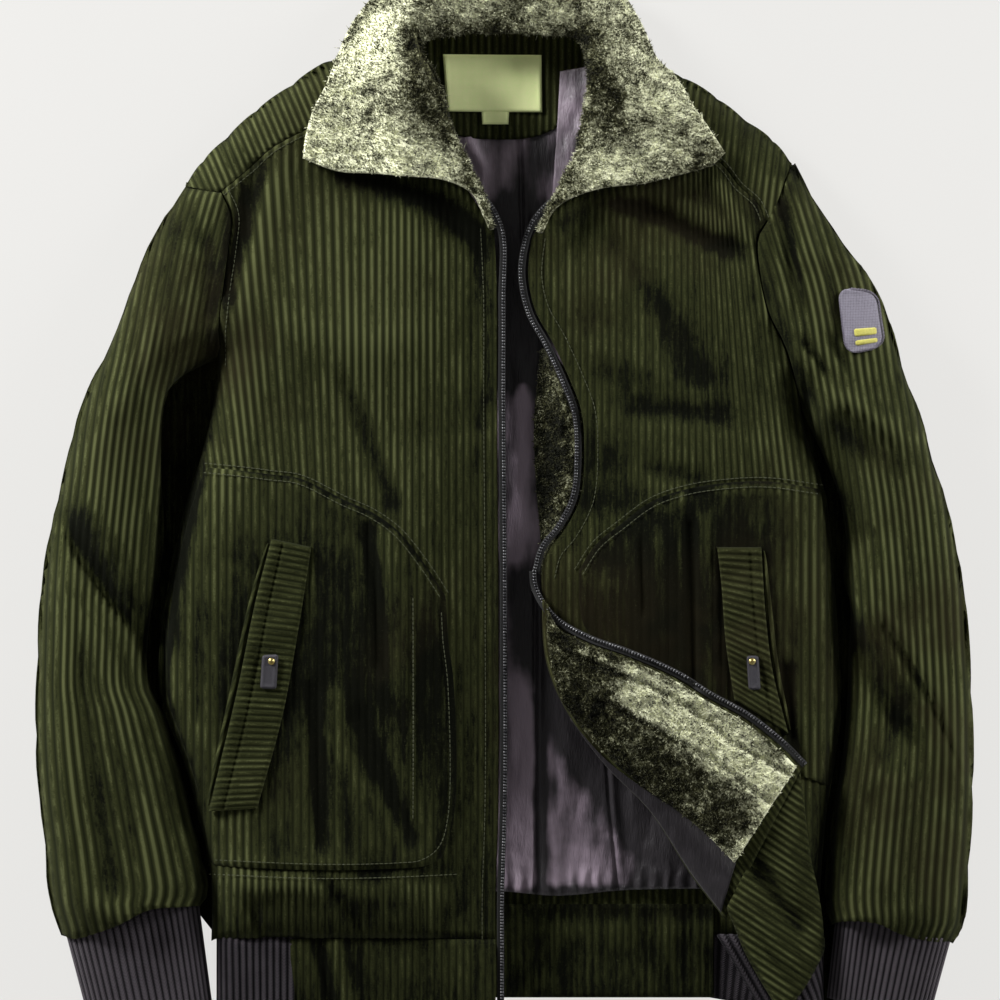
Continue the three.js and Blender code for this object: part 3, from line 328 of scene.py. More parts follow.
def patch(top, bottom, first, second):
    """Fills in between four edge curves: across from first to second, down from top to bottom."""
    t, b, f, s = [e if callable(e) else runner(e) for e in (top, bottom, first, second)]
    t0, t1, b0, b1 = t(0.0), t(1.0), b(0.0), b(1.0)

    def shape(across, down):
        across, down = np.broadcast_arrays(np.asarray(across, float), np.asarray(down, float))
        u, v = across[..., None], down[..., None]
        edges = mix(t(across), b(across), v) + mix(f(down), s(down), u)
        spot = edges - mix(mix(t0, t1, u), mix(b0, b1, u), v)
        return spot[..., 0], spot[..., 1]

    return shape


def in_parts(first, share, second):
    a, b = runner(first), runner(second)

    def at(t):
        t = np.asarray(t, float)
        early = (t <= share)[..., None]
        return np.where(early, a(np.clip(t / share, 0, 1)), b(np.clip((t - share) / (1 - share), 0, 1)))

    return at


def slope_normals(height, x, y, step=1.0):
    """Upward unit normals of a height function."""
    dx = (height(x + step, y) - height(x - step, y)) / (2 * step)
    dy = (height(x, y + step) - height(x, y - step)) / (2 * step)
    n = np.stack([-dx, -dy, np.ones_like(dx)], -1)
    return n / np.linalg.norm(n, axis=-1, keepdims=True)


def grid_normals(points, ring=False):
    """Unit normals of a grid of points whose columns run towards +X and rows towards -Y."""
    if ring:
        across = np.roll(points, -1, 1) - np.roll(points, 1, 1)
    else:
        across = np.gradient(points, axis=1)
    down = np.gradient(points, axis=0)
    n = np.cross(down, across)
    return n / np.maximum(np.linalg.norm(n, axis=-1, keepdims=True), 1e-9)


def wale_profile(phase):
    """0 in the valley between two wales and 1 on a crest."""
    f = np.abs(2 * (phase - np.floor(phase)) - 1)
    return 1 - f ** 2.2


def linear(red, green, blue):
    """A colour of 0 to 255 as light."""
    return tuple(((c / 255 + 0.055) / 1.055) ** 2.4 if c > 10 else c / 255 / 12.92 for c in (red, green, blue))


def width(name, description, millimetres):
    return FloatProperty(name=name, description=description, default=millimetres / 1000, min=0.0001, max=0.1,
                         precision=5, subtype="DISTANCE", unit="LENGTH")


def colour(name, description, red, green, blue):
    return FloatVectorProperty(name=name, description=description, size=3, min=0, max=1, subtype="COLOR",
                               default=linear(red, green, blue))


class JacketSizes(PropertyGroup):
    """Sizes of the cloth's own detail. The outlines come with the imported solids."""
    wale_front: width("Front wales", "Width of one wale on the fronts, yokes and bands", 5.1)
    wale_panel_right: width("Right panel wales", "Width of one wale on the right lower panel", 5.8)
    wale_panel_left: width("Left panel wales", "Width of one wale on the left lower panel", 6.2)
    wale_sleeve: width("Sleeve wales", "Width of one wale at the sleeve head", 5.4)
    wale_height: width("Wale height", "How far a wale stands over the valley beside it", 0.7)
    cloth_thickness: width("Cloth thickness", "Thickness of the ground under the wales", 1.3)
    rib_height: width("Rib height", "How far a knit rib stands out", 0.9)
    pile_length: width("Pile length", "Length of the plush pile", 2.3)
    pile_spacing: width("Pile spacing", "Distance between two tips of the plush", 1.15)
    pile_width: width("Pile width", "Half the width of a tip of the plush", 0.62)
    stitch_pitch: width("Stitch length", "Length of one topstitch with its gap", 3.3)
    tooth_pitch: width("Tooth pitch", "Distance between two teeth of the zip", 2.1)


class JacketColours(PropertyGroup):
    """Colours of the cloths and fittings."""
    # Ground between the wales, darkened as painted shade in the valleys and where the tone is low.
    valley: colour("Corduroy valley", "Ground between the wales", 25, 28, 13)
    wale: colour("Corduroy wale", "Flanks of the wales", 42, 45, 23)
    # Rubbed wear on the tops of the wales, with a painted highlight along them.
    crest: colour("Corduroy crest", "Rubbed tops of the wales", 80, 84, 53)
    # Painted shade, used where the tone is lowest, in the folds and hollows.
    painted_fold_shade: colour("Corduroy shade", "Pile crushed flat in the folds", 5, 6, 3)
    brown: colour("Corduroy faded", "Broad patches that have turned brown", 31, 26, 14)
    fuzz: colour("Corduroy fuzz", "Loose fibres on the wales", 126, 126, 98)
    # Where the pile parts, and painted shade where the tone is low.
    plush_gap_and_painted_shade: colour("Plush gap", "Where the pile parts", 18, 19, 10)
    plush_root: colour("Plush root", "Foot of the pile", 88, 88, 56)
    # Frosted tips, with painted highlights where the tone is high.
    plush_tip_and_painted_highlight: colour("Plush tip", "Frosted tips of the pile", 252, 254, 218)
    lining: colour("Lining", "Satin where it lies smooth", 158, 142, 156)
    # Painted shade: the satin darkened in its creases and where the tone is low.
    lining_painted_shade: colour("Lining shade", "Satin in its creases", 26, 21, 26)
    knit: colour("Knit", "Ribs of the cuffs and side inserts", 80, 75, 80)
    # Painted shade between the ribs.
    knit_gap_painted_shade: colour("Knit gap", "Between two ribs", 20, 18, 21)
    label: colour("Label", "Bare woven neck label", 250, 255, 190)
    label_deep: colour("Label shade", "Weave of the neck label", 228, 255, 160)
    patch: colour("Sleeve patch", "Twill of the bare patch", 128, 124, 136)
    patch_deep: colour("Sleeve patch shade", "Weave of the patch", 60, 56, 66)
    patch_edge: colour("Patch edging", "Overcast edge of the patch", 112, 106, 120)
    patch_edge_deep: colour("Patch edging shade", "Between the edging stitches", 52, 48, 60)
    patch_bar: colour("Patch bars", "Raised bars on the patch", 196, 190, 84)
    patch_bar_deep: colour("Patch bars shade", "Between their stitches", 120, 112, 40)
    tab: colour("Pocket tab", "Tab on each welt", 40, 37, 45)
    tab_deep: colour("Pocket tab shade", "Weave of the tab", 20, 18, 26)
    thread: colour("Thread", "Topstitching", 64, 68, 42)
    thread_deep: colour("Thread shade", "Turns of the thread", 26, 28, 16)
    zip_tape: colour("Zip tape", "Ridges of the tape", 20, 20, 20)
    zip_tape_deep: colour("Zip tape shade", "Between its ridges", 7, 7, 8)
    zip_metal: colour("Zip metal", "Teeth where they are rubbed", 118, 118, 120)
    zip_metal_deep: colour("Zip metal shade", "Teeth where they are dull", 44, 44, 48)
    slider: colour("Slider paint", "Paint of the slider and its pull", 74, 74, 78)
    slider_deep: colour("Slider paint shade", "Paint where it is dull", 26, 26, 30)
    stud: colour("Stud", "Polished brass of the studs", 170, 158, 104)
    stud_deep: colour("Stud shade", "Dull brass of the studs", 140, 122, 70)


def size_of(name):
    """One of the jacket's sizes, in millimetres."""
    return getattr(bpy.context.scene.jacket_sizes, name) * 1000


def shade_of(name):
    return tuple(getattr(bpy.context.scene.jacket_colours, name))


def make_mesh(name, points, faces, material, uv=None, tone=None):
    """A smooth mesh object from points in millimetres. faces is a list of arrays of corner numbers."""
    mesh = bpy.data.meshes.new(name)
    faces = [f for f in faces if len(f)]
    counts = np.concatenate([np.full(len(f), f.shape[1]) for f in faces]).astype(np.int32)
    corners = np.concatenate([f.ravel() for f in faces]).astype(np.int32)
    mesh.vertices.add(len(points))
    mesh.vertices.foreach_set("co", (np.asarray(points, np.float64) / 1000).astype(np.float32).ravel())
    mesh.loops.add(len(corners))
    mesh.loops.foreach_set("vertex_index", corners)
    mesh.polygons.add(len(counts))
    mesh.polygons.foreach_set("loop_start", np.concatenate([[0], np.cumsum(counts)[:-1]]).astype(np.int32))
    mesh.polygons.foreach_set("loop_total", counts)
    mesh.update(calc_edges=True)
    mesh.validate()
    mesh.polygons.foreach_set("use_smooth", np.ones(len(mesh.polygons), bool))
    if uv is not None:
        loops = np.zeros(len(mesh.loops), np.int32)
        mesh.loops.foreach_get("vertex_index", loops)
        layer = mesh.uv_layers.new(name="cut")
        layer.data.foreach_set("uv", np.asarray(uv, np.float32)[loops].ravel())
    if tone is not None:
        attribute = mesh.attributes.new("tone", "FLOAT", "POINT")
        attribute.data.foreach_set("value", np.asarray(tone, np.float32))
    mesh.materials.append(material)
    piece = bpy.data.objects.new(name, mesh)
    bpy.context.scene.collection.objects.link(piece)
    return piece


def surface_area(points, faces):
    """In square metres."""
    total = 0.0
    for f in faces:
        if not len(f):
            continue
        p = points[f]
        total += np.linalg.norm(np.cross(p[:, 1] - p[:, 0], p[:, 2] - p[:, 0]), axis=1).sum() / 2
        if f.shape[1] == 4:
            total += np.linalg.norm(np.cross(p[:, 2] - p[:, 0], p[:, 3] - p[:, 0]), axis=1).sum() / 2
    return total / 1e6


def ripples(x, y, size, seed):
    """Smooth noise between 0 and 1, the same each time."""
    grid = np.random.default_rng(seed).random((128, 128))
    u, v = x / size + 1000.37, y / size + 1000.71
    i, j = np.floor(u).astype(int), np.floor(v).astype(int)
    fu, fv = ease(u - i), ease(v - j)
    a, b = grid[i % 128, j % 128], grid[(i + 1) % 128, j % 128]
    c, d = grid[i % 128, (j + 1) % 128], grid[(i + 1) % 128, (j + 1) % 128]
    return mix(mix(a, b, fu), mix(c, d, fu), fv)


class Cloth:
    """One piece of cloth, or several that are sewn into one."""

    def __init__(self):
        self.points, self.faces, self.uv, self.tone = [], [], [], []
        self.count = 0
        self.area = 0.0

    def put(self, points, faces, uv=None, tone=None):
        self.points.append(points)
        self.faces += [f + self.count for f in faces if len(f)]
        self.uv.append(np.zeros((len(points), 2)) if uv is None else uv)
        self.tone.append(np.zeros(len(points)) if tone is None else tone)
        self.count += len(points)
        return self

    def close(self, outer, inner, faces, uv=None, tone=None, plain=None):
        """Adds an outer and an inner surface of the same faces, joined along their rim."""
        count = len(outer)
        faces = [f for f in faces if len(f)]
        edges = np.vstack([np.stack([f[:, i], f[:, (i + 1) % f.shape[1]]], 1)
                           for f in faces for i in range(f.shape[1])]).astype(np.int64)
        rim = edges[~np.isin(edges[:, 0] * count + edges[:, 1], edges[:, 1] * count + edges[:, 0])]
        walls = np.stack([rim[:, 1], rim[:, 0], rim[:, 0] + count, rim[:, 1] + count], 1)
        self.area += surface_area(outer if plain is None else plain, faces)
        both = None if uv is None else np.vstack([uv, uv])
        tones = None if tone is None else np.concatenate([tone, tone])
        return self.put(np.vstack([outer, inner]), [*faces, *[f[:, ::-1] + count for f in faces], walls], both, tones)

    def grid(self, outer, inner, uv=None, ring=False, tone=None, plain=None):
        rows, columns = outer.shape[:2]
        ids = np.arange(rows * columns).reshape(rows, columns)
        right = np.roll(ids, -1, 1) if ring else ids[:, 1:]
        left = ids if ring else ids[:, :-1]
        quads = np.stack([left[:-1], left[1:], right[1:], right[:-1]], -1).reshape(-1, 4)
        flat_uv = None if uv is None else uv.reshape(-1, 2)
        flat_tone = None if tone is None else tone.ravel()
        flat_plain = None if plain is None else plain.reshape(-1, 3)
        return self.close(outer.reshape(-1, 3), inner.reshape(-1, 3), [quads], flat_uv, flat_tone, flat_plain)

    def make(self, name, material, nodes=(), body="garment"):
        piece = make_mesh(name, np.vstack(self.points), self.faces, material, np.vstack(self.uv),
                          np.concatenate(self.tone))
        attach(piece, body)
        if nodes:
            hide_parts(*nodes)
        return piece

    def lay(self, piece, width, length, held="laid", rests_on=("back_cloth",), with_pieces=()):
        width, length = round(width / 1000, 3), round(length / 1000, 3)
        area = float(np.clip(self.area, 0.31 * width * length, width * length))
        list(rests_on)
        list(with_pieces)
        return piece


def limit(line, key, at):
    """Where a run is, at the values of its x (key 0) or y (key 1)."""
    order = np.argsort(line[:, key])
    return np.interp(at, line[order, key], line[order, 1 - key])


def fold_wear_and_shade(height, x, y, across, down):
    """Paler where a fold stands out, as rubbed wear, and darker where it sinks in, as painted shade, from -1 to 1."""
    z = height(x, y)
    soft = z
    for axis, reach in ((1, max(1, int(across))), (0, max(1, int(down)))):
        pad = [(reach, reach) if i == axis else (0, 0) for i in (0, 1)]
        total = np.cumsum(np.pad(soft, [(p + (i == axis), q) for i, (p, q) in enumerate(pad)], "edge"), axis=axis)
        count = 2 * reach + 1
        soft = (total[count:] - total[:-count] if axis == 0 else total[:, count:] - total[:, :-count]) / count
        soft = soft[:z.shape[0], :z.shape[1]]
    steep = np.maximum(*[np.abs(g) for g in np.gradient(soft)]) * max(across, down) / 12
    return np.clip((z - soft) / 0.9, -1, 1) * (1 - ease_up(steep, 0.5, 1.1))


def lattice(cloth, left, right, bottom, top, height, wale=None, per=4, row=6.0, bend=None, relief=None,
            thickness=None, rims=(), facing=1, start=0.0, hem=2.6, turn=0.0, shade=None):
    """Adds a panel whose columns follow its wales, cut to its outline, to a piece of cloth. facing is -1 for a
    panel turned face down. turn is the angle that brings its wales upright, and its edges are named as they
    are then."""
    wale = wale or size_of("wale_front")
    relief = relief or size_of("wale_height")
    thickness = thickness or size_of("cloth_thickness")
    cos, sin = math.cos(turn), math.sin(turn)
    left, right, bottom, top = [smooth_line(edge) @ np.array([[cos, sin], [-sin, cos]])
                                for edge in (left, right, bottom, top)]
    low_x, high_x = left[:, 0].min(), right[:, 0].max()
    low_y = bottom[:, 1].min()
    high_y = max(top[:, 1].max(), left[:, 1].max(), right[:, 1].max())
    bend = bend or (lambda w, y: np.zeros_like(w))
    spread = max(abs(bend(np.array([low_x, high_x]), np.array([high_y, high_y]))).max(),
                 abs(bend(np.array([low_x, high_x]), np.array([low_y, low_y]))).max())
    first = math.floor((low_x - spread - start) / wale) - 1
    last = math.ceil((high_x + spread - start) / wale) + 1
    w = start + np.arange(first * per, last * per + 1) * (wale / per)
    w, want = np.meshgrid(w, np.linspace(high_y, low_y, int((high_y - low_y) / row) + 2))
    y = want.copy()
    for _ in range(12):
        x = np.clip(w + bend(w, y), limit(left, 1, y), limit(right, 1, y))
        y = np.clip(want, limit(bottom, 0, x), limit(top, 0, x))
    key = np.round(np.stack([x.ravel(), y.ravel()], 1) * 12).astype(np.int64)
    # Painted shade in the folds and rubbed wear on them, plus any painted light and shade given as shade, carried to
    # the colour as the tone.
    wear_and_painted_shade = fold_wear_and_shade(height, x * cos + y * sin, y * cos - x * sin, 12 * per / wale, 12 / row)
    if shade is not None:
        wear_and_painted_shade = wear_and_painted_shade + shade(x * cos + y * sin, y * cos - x * sin)
    _, chosen, ids = np.unique(key, axis=0, return_index=True, return_inverse=True)
    ids = ids.reshape(x.shape)
    quads = np.stack([ids[:-1, :-1], ids[1:, :-1], ids[1:, 1:], ids[:-1, 1:]], -1).reshape(-1, 4)
    same = quads == np.roll(quads, -1, 1)
    fours = quads[same.sum(1) == 0]
    fours = fours[(fours[:, 0] != fours[:, 2]) & (fours[:, 1] != fours[:, 3])]
    one = same.sum(1) == 1
    threes = quads[one][~same[one]].reshape(-1, 3)
    px, py, pw = x.ravel()[chosen], y.ravel()[chosen], w.ravel()[chosen]
    along = py

    def turned_in(triangles):
        a, b, c = [np.stack([px, py], 1)[triangles[:, i]] for i in range(3)]
        return (b[:, 0] - a[:, 0]) * (c[:, 1] - a[:, 1]) - (b[:, 1] - a[:, 1]) * (c[:, 0] - a[:, 0])

    threes = threes[turned_in(threes) > 1e-6]
    fours = fours[(turned_in(fours[:, :3]) > -1e-6) & (turned_in(fours[:, [0, 2, 3]]) > -1e-6)]
    faces = [fours, threes]
    px, py = px * cos + py * sin, py * cos - px * sin
    base = placed(px, py, height(px, py))
    normals = slope_normals(height, px, py)
    if facing < 0:
        normals = -normals
        faces = [f[:, ::-1] for f in faces]
    edge = quarter_round(nearest(rims, px, py), hem) if rims else np.ones_like(px)
    phase = pw / wale
    sink = relief * (wale_profile(phase) * edge - 1) - 0.5 * (1 - edge)
    outer = base + normals * sink[:, None]
    inner = base - normals * (thickness + relief)
    used = np.unique(np.concatenate([f.ravel() for f in faces]))
    renumber = np.zeros(len(outer), np.int64)
    renumber[used] = np.arange(len(used))
    faces = [renumber[f] for f in faces]
    uv = np.stack([phase, along / wale], 1)[used]
    cloth.close(outer[used], inner[used], faces, uv, wear_and_painted_shade.ravel()[chosen][used], base[used])
    return (high_x - low_x) * 1.04, (high_y - low_y) * 1.04


# ---------------------------------------------------------------- materials

class Socket:
    """An output of a node. Sums and products of sockets and numbers add the Math nodes for them."""

    def __init__(self, finish, output):
        self.finish = finish
        self.output = output

    def maths(self, operation, *values, clamp=False):
        settings = {"operation": operation, "use_clamp": clamp}
        return self.finish.node("ShaderNodeMath", settings, dict(enumerate(values)))

    def __add__(self, other):
        return self.maths("ADD", self, other)

    __radd__ = __add__

    def __sub__(self, other):
        return self.maths("SUBTRACT", self, other)

    def __rsub__(self, other):
        return self.maths("SUBTRACT", other, self)

    def __mul__(self, other):
        return self.maths("MULTIPLY", self, other)

    __rmul__ = __mul__

    def __pow__(self, other):
        return self.maths("POWER", self, other)

    def __abs__(self):
        return self.maths("ABSOLUTE", self)

    def fract(self):
        return self.maths("FRACT", self)

    def held(self):
        """Kept between 0 and 1."""
        return self.maths("ADD", self, 0.0, clamp=True)

    def rise(self, low, high, start=0.0, end=1.0):
        """Eases from start to end as this goes from low to high."""
        settings = {"interpolation_type": "SMOOTHSTEP"}
        values = {"Value": self, "From Min": low, "From Max": high, "To Min": start, "To Max": end}
        return self.finish.node("ShaderNodeMapRange", settings, values)


class Finish:
    """A material on one shader."""

    def __init__(self, name, **fixed):
        self.material = bpy.data.materials.new(name)
        self.material.use_nodes = True
        self.tree = self.material.node_tree
        self.tree.nodes.clear()
        self.shader = self.tree.nodes.new("ShaderNodeBsdfPrincipled")
        end = self.tree.nodes.new("ShaderNodeOutputMaterial")
        self.tree.links.new(self.shader.outputs[0], end.inputs[0])
        self.set(**fixed)

    def node(self, kind, settings=None, inputs=None, output=0):
        made = self.tree.nodes.new(kind)
        for key, value in (settings or {}).items():
            setattr(made, key, value)
        for key, value in (inputs or {}).items():
            self.feed(made.inputs[key], value)
        return Socket(self, made.outputs[output])

    def feed(self, socket, value):
        if isinstance(value, Socket):
            self.tree.links.new(value.output, socket)
        else:
            socket.default_value = value

    def set(self, **values):
        for key, value in values.items():
            self.feed(self.shader.inputs[key.replace("_", " ")], value)
        return self

    def mix(self, share, first, second, blend="MIX"):
        first, second = [c if isinstance(c, Socket) else (*c, 1) for c in (first, second)]
        settings = {"data_type": "RGBA", "blend_type": blend}
        return self.node("ShaderNodeMix", settings, {0: share, 6: first, 7: second}, 2)

    def noise(self, at, scale, detail=2.0, roughness=0.5):
        values = {"Vector": at, "Scale": scale, "Detail": detail, "Roughness": roughness}
        return self.node("ShaderNodeTexNoise", {"noise_dimensions": "3D"}, values)

    def place(self):
        """Where a point is on the object, in metres."""
        return self.node("ShaderNodeTexCoord", output="Object")

    def stretched(self, at, x, y, z):
        values = {0: at, 1: (x, y, z)}
        return self.node("ShaderNodeVectorMath", {"operation": "MULTIPLY"}, values)

    def cut(self):
        """Across the wales, one for each wale, and along them."""
        split = self.node("ShaderNodeUVMap", {"uv_map": "cut"})
        apart = self.node("ShaderNodeSeparateXYZ", inputs={0: split})
        return split, apart, Socket(self, apart.output.node.outputs[1])

    def tone(self):
        return self.node("ShaderNodeAttribute", {"attribute_name": "tone"}, output="Fac")

    def bump(self, height, strength, far):
        values = {"Strength": strength, "Distance": far, "Height": height}
        self.set(Normal=self.node("ShaderNodeBump", inputs=values))
        return self


def corduroy():
    """Wide-wale cotton: worn crests with a painted highlight, valleys darkened as painted shade, painted shade in the
    folds from the tone, short fuzz that lies unevenly.
    """
    if "wide_wale_corduroy" in bpy.data.materials:
        return bpy.data.materials["wide_wale_corduroy"]
    fin = Finish("wide_wale_corduroy", Roughness=0.95)
    fin.shader.inputs["Specular IOR Level"].default_value = 0.05
    fin.shader.inputs["Sheen Weight"].default_value = 0.03
    fin.shader.inputs["Sheen Roughness"].default_value = 0.45
    fin.shader.inputs["Sheen Tint"].default_value = (0.72, 0.78, 0.52, 1)
    here = fin.place()
    cut, across, along = fin.cut()
    crest = 1 - abs(2 * across.fract() - 1) ** 1.6
    streaks = fin.noise(fin.stretched(cut, 0.9, 0.10, 1), 1.0, 3.0, 0.65)
    broken = fin.noise(fin.stretched(cut, 2.2, 0.55, 1), 1.0, 3.0, 0.6)
    fuzz = fin.noise(here, 1000.0, 3.0, 0.75)
    patches = fin.noise(here, 15.0, 3.0, 0.6)
    broad = fin.noise(here, 4.5, 2.0, 0.5)
    # The tone holds painted shade and painted highlights on the folds, with rubbed wear on them.
    rubbed = fin.tone()
    tone_and_painted_light = (0.50 + 2.2 * (streaks - 0.5) + 1.8 * (broken - 0.5) + 1.3 * (patches - 0.5) + 0.8 * (broad - 0.5)
           + 0.70 * rubbed + 1.7 * (fuzz - 0.5))
    single = fin.noise(fin.stretched(cut, 1.7, 0.03, 1), 1.0, 2.0, 0.5)
    tone_and_painted_light = tone_and_painted_light + 1.6 * (single - 0.5)
    colour = fin.mix(crest.rise(0.05, 0.75) * tone_and_painted_light.rise(-0.9, 0.6), shade_of("valley"), shade_of("wale"))
    # A painted highlight along the crests.
    colour = fin.mix(crest.rise(0.62, 1.0) * tone_and_painted_light.rise(0.15, 1.35), colour, shade_of("crest"))
    # Painted shade where the tone is low.
    colour = fin.mix((0.1 - tone_and_painted_light).rise(0.0, 0.9) * 0.92, colour, shade_of("painted_fold_shade"))
    colour = fin.mix(broad.rise(0.45, 0.7) * patches.rise(0.35, 0.65) * 0.6, colour, shade_of("brown"))
    colour = fin.mix(fuzz.rise(0.60, 0.85) * crest * 0.35, colour, shade_of("fuzz"))
    fin.set(Base_Color=colour)
    fin.bump(0.7 * fuzz + 0.5 * broken, 0.6, 0.0006)
    return fin.material


# ---------------------------------------------------------------- pieces

def away(points, side):
    """A run moved sideways, to the left of its own way where side is positive."""
    p = np.array(points, float)
    way = np.gradient(p, axis=0)
    way /= np.linalg.norm(way, axis=1, keepdims=True)
    return [tuple(v) for v in p + np.stack([-way[:, 1], way[:, 0]], 1) * side]


front_edge_left = zip_left + away(crease + crease_foot[1:], CREASE_ROUND + 1.8)[1:]
seam_right = yoke_seam_right[::-1] + neck_right[1:]
seam_left = neck_left[::-1] + yoke_seam_left[1:]


def lean(edge_x, reach, slope, low, high):
    """Bends wales over by slope where they come near x = edge_x, between two heights."""
    def bend(w, y):
        near = ease_up(reach - np.abs(w - edge_x), 0, reach)
        return slope * near * (np.clip(y, low, high) - low)
    return bend


def painted_light_and_shade(spots, lines):
    """Painted highlights, above 0, and painted shade, below it: round spots (x, y, reach, height) and along lines
    (points, reach, height), with random tone added."""
    def shade(x, y):
        total = 0 * x
        for a, b, reach, height in spots:
            total = total + height * np.exp(-((x - a) ** 2 + (y - b) ** 2) / reach ** 2)
        for points, reach, height in lines:
            total = total + height * np.exp(-(distance(points, x, y) / reach) ** 2)
        return total + 0.5 * (ripples(x, y, 21, 21) - 0.5) + 0.35 * (ripples(x * 2.5, y * 0.4, 9, 22) - 0.5)
    return shade


pocket_top_right = [(-185, 21), (-161, 18), (-140, 15), (-109, 0), (-89, -9), (-71, -22), (-51, -47), (-38, -67)]
pocket_top_left = [(55, -49), (67, -31), (84, -17), (106, -1), (128, 7), (150, 11), (186, 13), (225, 8)]

# Painted light and shade on the body: darker sides and lower fronts, a lighter chest, a painted shadow under the left
# collar leaf, painted shade along the armholes and folds.
BODY_SHADE = painted_light_and_shade(
    ((-110, 150, 95, 0.55), (-60, 90, 60, 0.25), (120, 110, 90, -0.65), (-150, -60, 90, -0.35), (-60, -240, 120, -0.9), (110, 60, 120, -0.2),
     (190, 130, 40, 0.4), (110, -70, 90, -0.6), (200, -260, 80, -1.4), (-215, -200, 60, -0.4), (170, 250, 45, -0.5),
     (-180, 250, 50, 0.0), (-25, 60, 30, -0.35)),
    ((seen((344, 389), (368, 450), (392, 510)), 8, -0.55), (seen((618, 201), (670, 222), (723, 249)), 7, -1.5),
     (seen((615, 225), (650, 285), (679, 329), (698, 373)), 15, -0.35), (seen((605, 366), (670, 378), (733, 372)), 7, -0.3),
     (seen((653, 399), (723, 402)), 7, -0.2), (seen((585, 500), (645, 492)), 8, -0.9),
     (seen((722, 185), (749, 236), (777, 329), (806, 411), (820, 480)), 3.5, 0.9),
     (seen((275, 155), (255, 190), (240, 235), (228, 270), (223, 309)), 6, -1.0),
     (seen((262, 215), (250, 270), (246, 330), (240, 400)), 9, 0.5), (seen((330, 200), (345, 300), (350, 380)), 9, 0.3),
     (seen((440, 210), (455, 300), (462, 420)), 12, -0.3), (seen((345, 176), (395, 190), (445, 208), (478, 240)), 9, -2.8),
     (seen((478, 235), (488, 300), (489, 400)), 6, -1.0), (seen((240, 190), (236, 250), (228, 310), (222, 360)), 7, -1.4),
     (seen((700, 200), (640, 196), (590, 206), (560, 222)), 6, -1.0), (seen((545, 215), (575, 330), (600, 420)), 8, 0.5),
     (seen((755, 205), (770, 240)), 5, -0.9), (seen((212, 380), (200, 450), (188, 520), (176, 640)), 7, -1.8), (seen((215, 880), (320, 886)), 4, 0.7),
     (seen((256, 906), (262, 931), (300, 937)), 4, -0.8), (seen((332, 880), (360, 918)), 4, -0.6)))
# Painted shade on the lower panels, with painted highlights along their seams and ridges.
PANEL_SHADE = painted_light_and_shade(
    ((-100, -120, 120, -1.9), (120, -80, 105, -2.8), (-60, -60, 30, 0.3), (216, -60, 22, 1.3), (64, -62, 14, 0.9)),
    ((seen((374, 520), (375, 660)), 7, -0.35), (seen((319, 770), (319, 820)), 6, -0.3),
     (seen((319, 723), (360, 780), (399, 835)), 5, 0.8), (seen((640, 545), (640, 640)), 4, -0.9),
     (seen((693, 525), (695, 640)), 4, -0.9), (pocket_top_right, 1.6, -1.6), (pocket_top_left, 1.6, -1.6),
     (away(pocket_top_right, -4), 1.4, 1.1), (away(pocket_top_left, -4), 1.4, 1.1), (seen((300, 560), (330, 600), (340, 680)), 7, 0.6),
     (seen((196, 480), (182, 560), (172, 640)), 7, -1.8), (seen((230, 500), (222, 600), (200, 720)), 8, 0.4), (seen((820, 500), (828, 640), (826, 740)), 4, 0.9)))
# Painted light and shade on the sleeves: painted highlights on the fold ridges, painted shade below them and along the
# armholes.
SLEEVE_SHADE = painted_light_and_shade(
    ((-230, 150, 60, -0.5), (-262, 26, 26, 0.9), (-250, 60, 40, 0.25), (-300, -150, 55, 0.5), (-240, 60, 14, 0.4), (-272, -250, 60, 0.2),
     (-235, 160, 40, 0.35), (-225, -60, 25, -0.9), (260, 130, 45, 0.7), (300, 0, 50, 0.3), (230, -10, 25, -1.0),
     (245, -90, 25, -0.8), (250, -190, 25, -0.7), (305, -150, 35, 0.5), (300, -260, 50, 0.3)),
    ((seen((59, 525), (77, 570), (105, 608), (128, 637), (147, 669), (166, 720), (182, 777), (195, 840)), 5, 1.0),
     (seen((78, 520), (98, 560), (125, 598), (148, 630), (160, 660)), 11, -1.5),
     (seen((156, 320), (157, 420), (150, 500)), 4, 0.9), (seen((175, 230), (168, 280), (172, 340)), 8, -0.7),
     (seen((246, 196), (232, 230), (224, 290), (214, 350)), 9, -1.8), (seen((225, 130), (212, 165), (196, 190)), 9, 0.3),
     (seen((800, 180), (772, 230), (770, 290), (792, 350), (806, 400)), 7, -1.3),
     (seen((833, 402), (853, 410), (873, 428), (886, 443), (924, 440)), 4, 1.2),
     (seen((838, 428), (858, 448), (890, 466)), 9, -1.3),
     (seen((848, 596), (883, 618), (904, 639), (918, 659), (937, 698), (956, 746), (967, 781)), 4, 1.0),
     (seen((840, 625), (872, 646), (893, 670), (903, 700)), 10, -1.4), (seen((918, 672), (899, 717), (883, 755)), 8, -1.1),
     (seen((842, 700), (832, 800), (828, 900)), 9, -1.1), (seen((795, 195), (805, 225), (812, 255)), 4, 0.9),
     (seen((774, 214), (780, 260), (790, 310)), 4, 0.9), (seen((784, 205), (795, 255), (806, 300)), 4, -0.9)))


